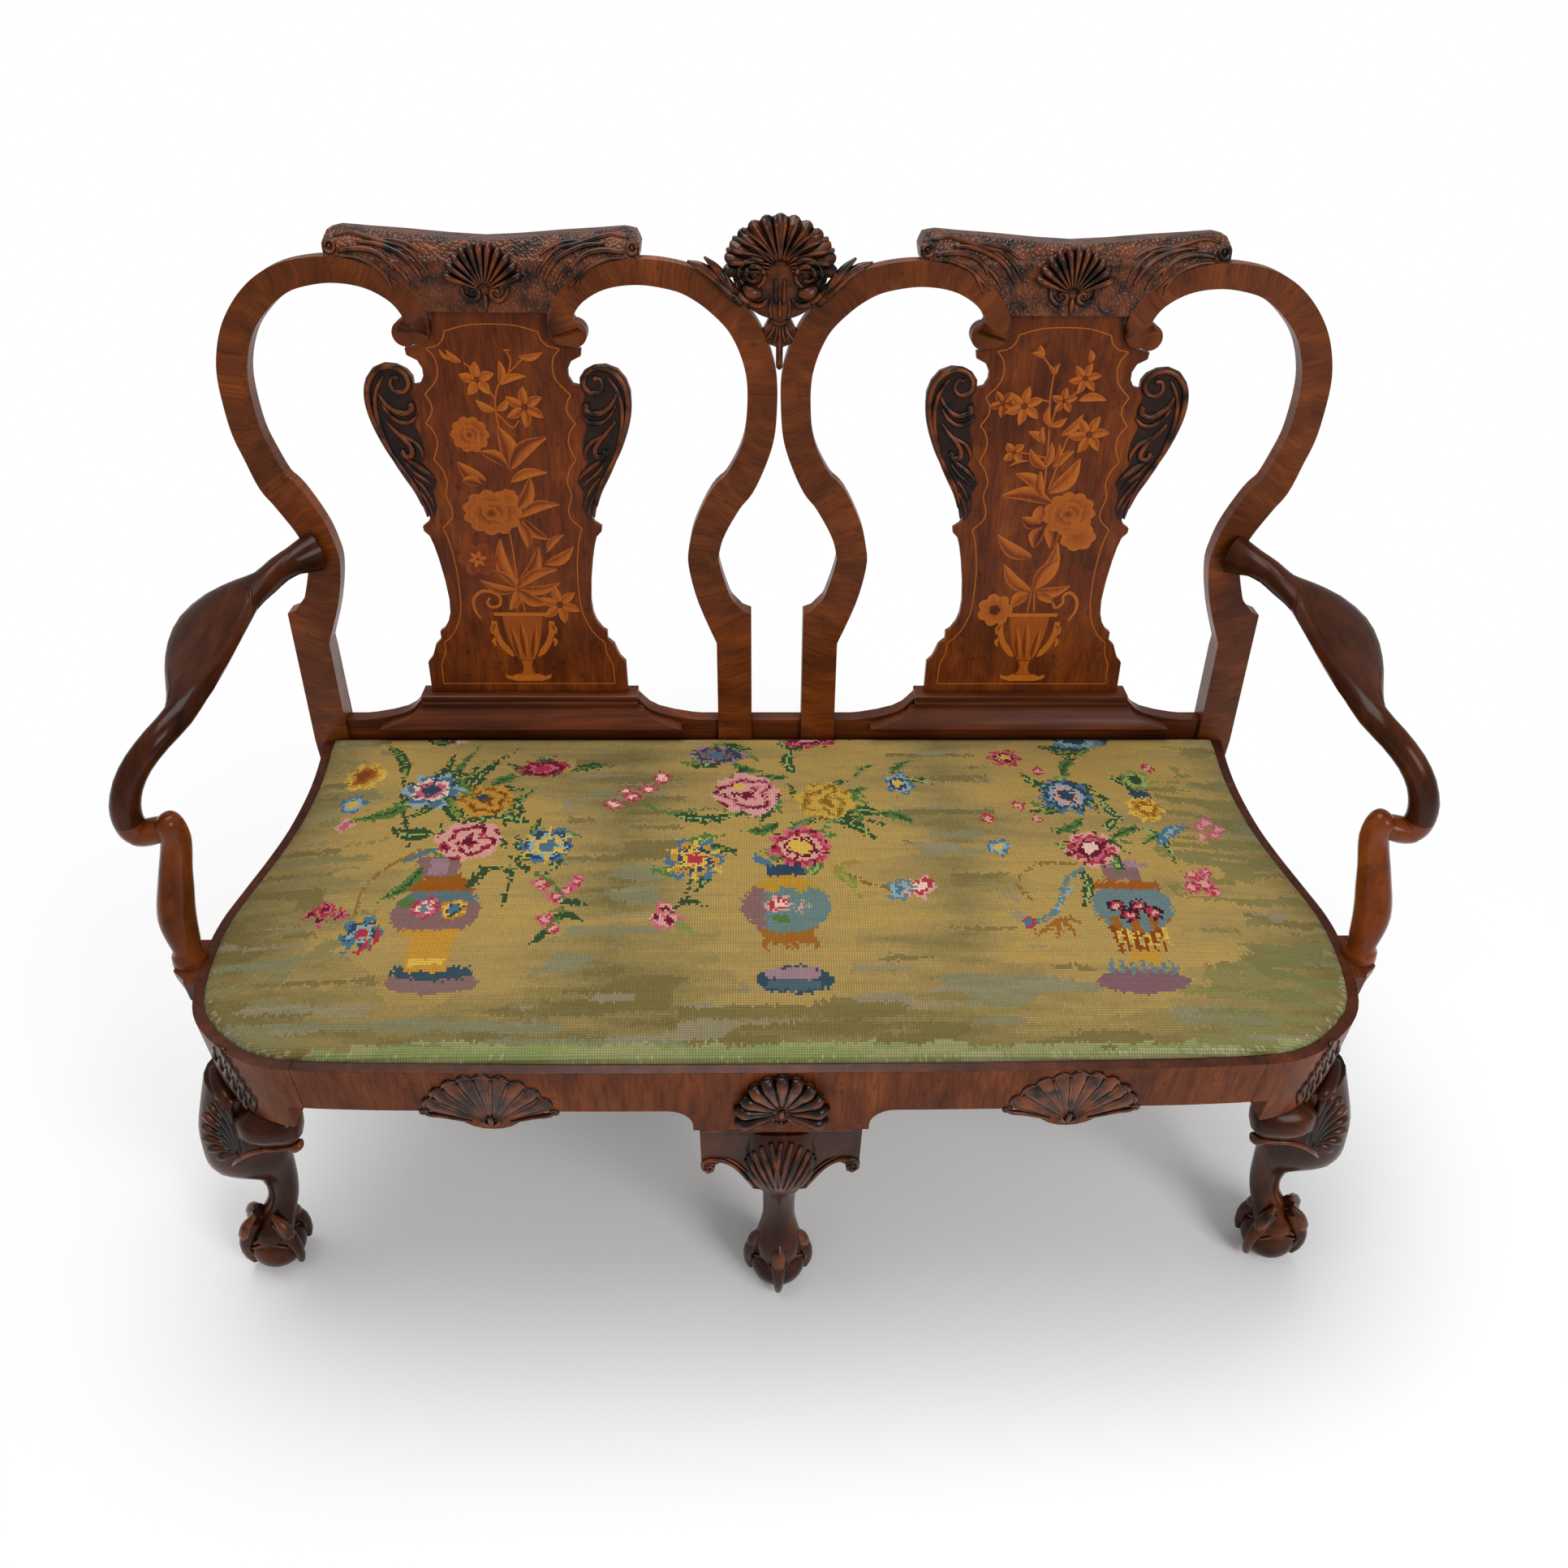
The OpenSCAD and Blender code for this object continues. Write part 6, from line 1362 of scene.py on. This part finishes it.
def cushion(cell, height):
    """A closed pad of square cells. height gives z from x, y and the share of the way to the edge."""
    half, rows = int(SEAT_HALF / cell), int(SEAT_DEEP / cell)
    X, Y = np.meshgrid(np.arange(-half, half + 1) * cell, np.arange(0, rows + 1) * cell - Y_MIDDLE)
    q = edge_share(X, Y)
    inside = q < 1 - 0.25 * cell / SEAT_REACH
    cells = inside[:-1, :-1] & inside[1:, :-1] & inside[:-1, 1:] & inside[1:, 1:]
    around = np.zeros(X.shape, int)
    for dj, di in ((0, 0), (0, 1), (1, 0), (1, 1)):
        around[dj:dj + cells.shape[0], di:di + cells.shape[1]] += cells
    # The outermost corners are drawn out to the edge, so that the square cells end on its curve.
    rim = (around > 0) & (around < 4)
    X = np.where(rim, X / q * RIM_SHARE, X)
    Y = np.where(rim, SEAT_MIDDLE + (Y - SEAT_MIDDLE) / q * RIM_SHARE, Y)
    Z = height(X, Y, np.where(rim, 1.0, q))
    used = around > 0
    number = np.cumsum(used).reshape(X.shape) - 1
    points = np.stack([X[used], Y[used], Z[used]], 1) / 1000
    j, i = np.nonzero(cells)
    quads = np.stack([number[j, i], number[j, i + 1], number[j + 1, i + 1], number[j + 1, i]], 1)
    mesh = bpy.data.meshes.new("pad")
    mesh.from_pydata(points.tolist(), [], quads.tolist())
    bm = bmesh.new()
    bm.from_mesh(mesh)
    bpy.data.meshes.remove(mesh)
    edge = [e for e in bm.edges if e.is_boundary]
    for drop, spread in EDGE_ROWS:
        grown = bmesh.ops.extrude_edge_only(bm, edges=edge)["geom"]
        for vert in [g for g in grown if isinstance(g, bmesh.types.BMVert)]:
            share = edge_share(vert.co.x * 1000, vert.co.y * 1000)
            vert.co.x *= spread / share
            vert.co.y = (SEAT_MIDDLE + (vert.co.y * 1000 - SEAT_MIDDLE) * spread / share) / 1000
            vert.co.z = (EDGE_Z - drop) / 1000
        edge = [g for g in grown if isinstance(g, bmesh.types.BMEdge) and g.is_boundary]
    bmesh.ops.contextual_create(bm, geom=edge)
    bmesh.ops.recalc_face_normals(bm, faces=bm.faces)
    return bm


ROLLED_EDGE, CROWN = 1.8, 16


def crowned(q):
    """The seat's height as it was first stuffed, rolled over at its edge, where q is 1."""
    return EDGE_Z + ROLLED_EDGE * np.minimum(1, (1 - q) * 60) + CROWN * np.maximum(1 - q ** 3, 0) ** 0.75


# The hair swells the pad while its sides and floor stay on the frame, so the wool pulls taut.
PAD_CELL, STARTS_LOW, HELD_UP_TO, PRESSURE, CAP_MM, FRAMES = 11.2, 5, 0.8, 4.0, 5.0, 20
FAR_OVER, TAPER, PASSES = 600, 12, 30
bm = cushion(PAD_CELL, lambda x, y, q: crowned(q) - STARTS_LOW * np.maximum(1 - q ** 2, 0))
held = [v.index for v in bm.verts if v.co.z < (EDGE_Z + HELD_UP_TO) / 1000]
mesh = bpy.data.meshes.new("swelling_pad")
bm.to_mesh(mesh)
bm.free()
pad = bpy.data.objects.new("swelling_pad", mesh)
bpy.context.scene.collection.objects.link(pad)
pad.vertex_groups.new(name="held").add(held, 1.0, "REPLACE")
cloth = pad.modifiers.new("cloth", "CLOTH")
cloth.settings.use_pressure, cloth.settings.uniform_pressure_force = True, PRESSURE
cloth.settings.effector_weights.gravity = 0.0
cloth.settings.vertex_group_mass = "held"
cloth.settings.quality, cloth.settings.mass = 6, 0.3
for number in range(1, FRAMES + 1):
    bpy.context.scene.frame_set(number)
swollen = BVHTree.FromObject(pad, bpy.context.evaluated_depsgraph_get())
bpy.data.objects.remove(pad)
bpy.context.scene.frame_set(1)

def seat_height(x, y, q):
    """The swollen pad's height, never far from the first one."""
    first = crowned(q)
    made = first.copy()
    for place in np.ndindex(x.shape):
        if q[place] < 0.985:
            hit = swollen.ray_cast(Vector((x[place], y[place], FAR_OVER)) / 1000, Vector((0, 0, -1)))[0]
            if hit:
                made[place] = hit.z * 1000
    taper = np.clip((1 - q) * TAPER, 0, 1)
    rise = np.clip(made - first, -CAP_MM, CAP_MM) * taper
    # The canvas is stiffer than the pad under it, so small bumps are drawn out.
    for _ in range(PASSES):
        rise = (rise + sum(np.roll(rise, step, axis) for axis in (0, 1) for step in (1, -1))) / 5
    return first + rise * taper


bm = cushion(STITCH, seat_height)
wool_layer = bm.faces.layers.float_color.new("stitch")
frayed = wool.random(canvas.shape[:2])
# The wool is worn through to the canvas here and there, at the front edge and most at its corners.
bare_canvas, FRAY_OUT, FRAY_BACK, CORNER_X = np.array(linear("#BDB79A")[:3]), 0.988, 130, 430
for face in bm.faces:
    middle = face.calc_center_median() * 1000
    column = min(max(int(middle.x / STITCH + HALF_STITCHES), 0), COLUMNS - 1)
    row = min(max(int((middle.y + Y_MIDDLE) / STITCH) - FIRST_ROW, 0), ROWS - 1)
    tint = canvas[row, column]
    at_edge = edge_share(middle.x, middle.y) > FRAY_OUT and middle.y < FRAY_BACK - Y_MIDDLE
    if at_edge and frayed[row, column] > 0.94 - 0.12 * (abs(middle.x) > CORNER_X):
        tint = tint * 0.7 + bare_canvas * 0.3
    face[wool_layer] = (*tint, 1.0)
    face.smooth = True

# Wool is matt, and each stitch is a small hump. Painted shade darkens the gap round it, and its top is
# painted a little lighter.
needlework, tree, principled = new_material("wool_needlework", Roughness=0.95, Specular_IOR_Level=0.05,
                                            Sheen_Weight=0.05)
apart = add(tree, "ShaderNodeSeparateXYZ", {"Vector": on_the_piece(tree)})
ribs = []
for axis, shift in (("X", 0.0), ("Y", Y_MIDDLE / 1000)):
    moved = maths(tree, "ADD", apart.outputs[axis], shift)
    wave = maths(tree, "SINE", maths(tree, "MULTIPLY", moved, math.pi * 1000 / STITCH))
    ribs.append(maths(tree, "ABSOLUTE", wave))
hump = maths(tree, "POWER", maths(tree, "MULTIPLY", *ribs), 0.6)
dye = add(tree, "ShaderNodeAttribute", attribute_name="stitch").outputs["Color"]
# Painted shade in the gap round each stitch, and a little painted light on its top.
painted(tree, principled, dye, remap(tree, hump, 0, 1, 0.55, 1.08))
embossed(tree, principled, hump, 0.35, 0.0008)
cover = finish_mesh("needlework", bm, needlework, SEAT_BODY, ["needlework_cover"])

# Floor, camera and studio light.
# A pale seamless paper floor, a broad soft lamp overhead and an even white room. The lens and the
# place of the camera were worked out from the level and upright edges of the settee.
camera = bpy.data.objects.new("camera", bpy.data.cameras.new("camera"))
bpy.context.scene.collection.objects.link(camera)
camera.data.sensor_width, camera.data.clip_end = 36, 60
camera.data.lens = camera.data.sensor_width / 2 * FOCAL_PX / MIDDLE_PX
turn = Matrix((right, -down, -forward)).transposed().to_4x4()
camera.matrix_world = Matrix.Translation(EYE) @ turn
bpy.context.scene.camera = camera

paper, tree, principled = new_material("seamless_white_paper", Roughness=0.9, Specular_IOR_Level=0.1)
where = on_the_piece(tree)
grain = noise(tree, where, 900.0)
tree.links.new(ramp(tree, grain, [(0.0, "#F4F4F4"), (1.0, "#FAFAFA")]), principled.inputs["Base Color"])
# The paper fades to plain white away from the settee, and its shadow is lifted, for the camera alone.
long_way = add(tree, "ShaderNodeVectorMath", {0: where, 1: (0.72, 1.0, 1.0)},
               operation="MULTIPLY").outputs["Vector"]
away = add(tree, "ShaderNodeVectorMath", {0: long_way}, operation="LENGTH").outputs["Value"]
fade = remap(tree, away, 0.5, 1.2, 0.05, 1, interpolation_type="SMOOTHSTEP")
looked_at = add(tree, "ShaderNodeLightPath").outputs["Is Camera Ray"]
faded = maths(tree, "MULTIPLY", fade, looked_at)
white = add(tree, "ShaderNodeEmission", {"Strength": 1.0}).outputs[0]
mixed = add(tree, "ShaderNodeMixShader", {0: faded, 1: principled.outputs[0], 2: white})
tree.links.new(mixed.outputs[0], tree.nodes["Material Output"].inputs["Surface"])
bm = bmesh.new()
bmesh.ops.create_grid(bm, x_segments=1, y_segments=1, size=12)
mesh = bpy.data.meshes.new("paper_floor")
bm.to_mesh(mesh)
bm.free()
mesh.materials.append(paper)
floor = bpy.data.objects.new("paper_floor", mesh)
bpy.context.scene.collection.objects.link(floor)

world = bpy.data.worlds.new("white_studio")
world.use_nodes = True
bpy.context.scene.world = world
tree = world.node_tree
sky = tree.nodes["Background"]
looked_at = add(tree, "ShaderNodeLightPath").outputs["Is Camera Ray"]
tree.links.new(remap(tree, looked_at, 0, 1, 0.42, 1), sky.inputs["Strength"])
sky.inputs["Color"].default_value = (1, 1, 1, 1)


def soft_lamp(name, place, aim, size, watts):
    """A soft box that faces a point."""
    lamp = bpy.data.objects.new(name, bpy.data.lights.new(name, "AREA"))
    lamp.data.shape, lamp.data.energy = "RECTANGLE", watts
    lamp.data.size, lamp.data.size_y = size
    lamp.location = place
    lamp.rotation_euler = (Vector(aim) - Vector(place)).to_track_quat("-Z", "Y").to_euler()
    bpy.context.scene.collection.objects.link(lamp)


soft_lamp("overhead_box", (-0.4, 0.6, 3.2), (0, 0.1, 0.4), (2.6, 1.8), 78)
soft_lamp("front_box", (1.9, -2.2, 2.2), (0, 0, 0.5), (1.4, 1.4), 44)
bpy.context.scene.view_settings.view_transform = "Standard"
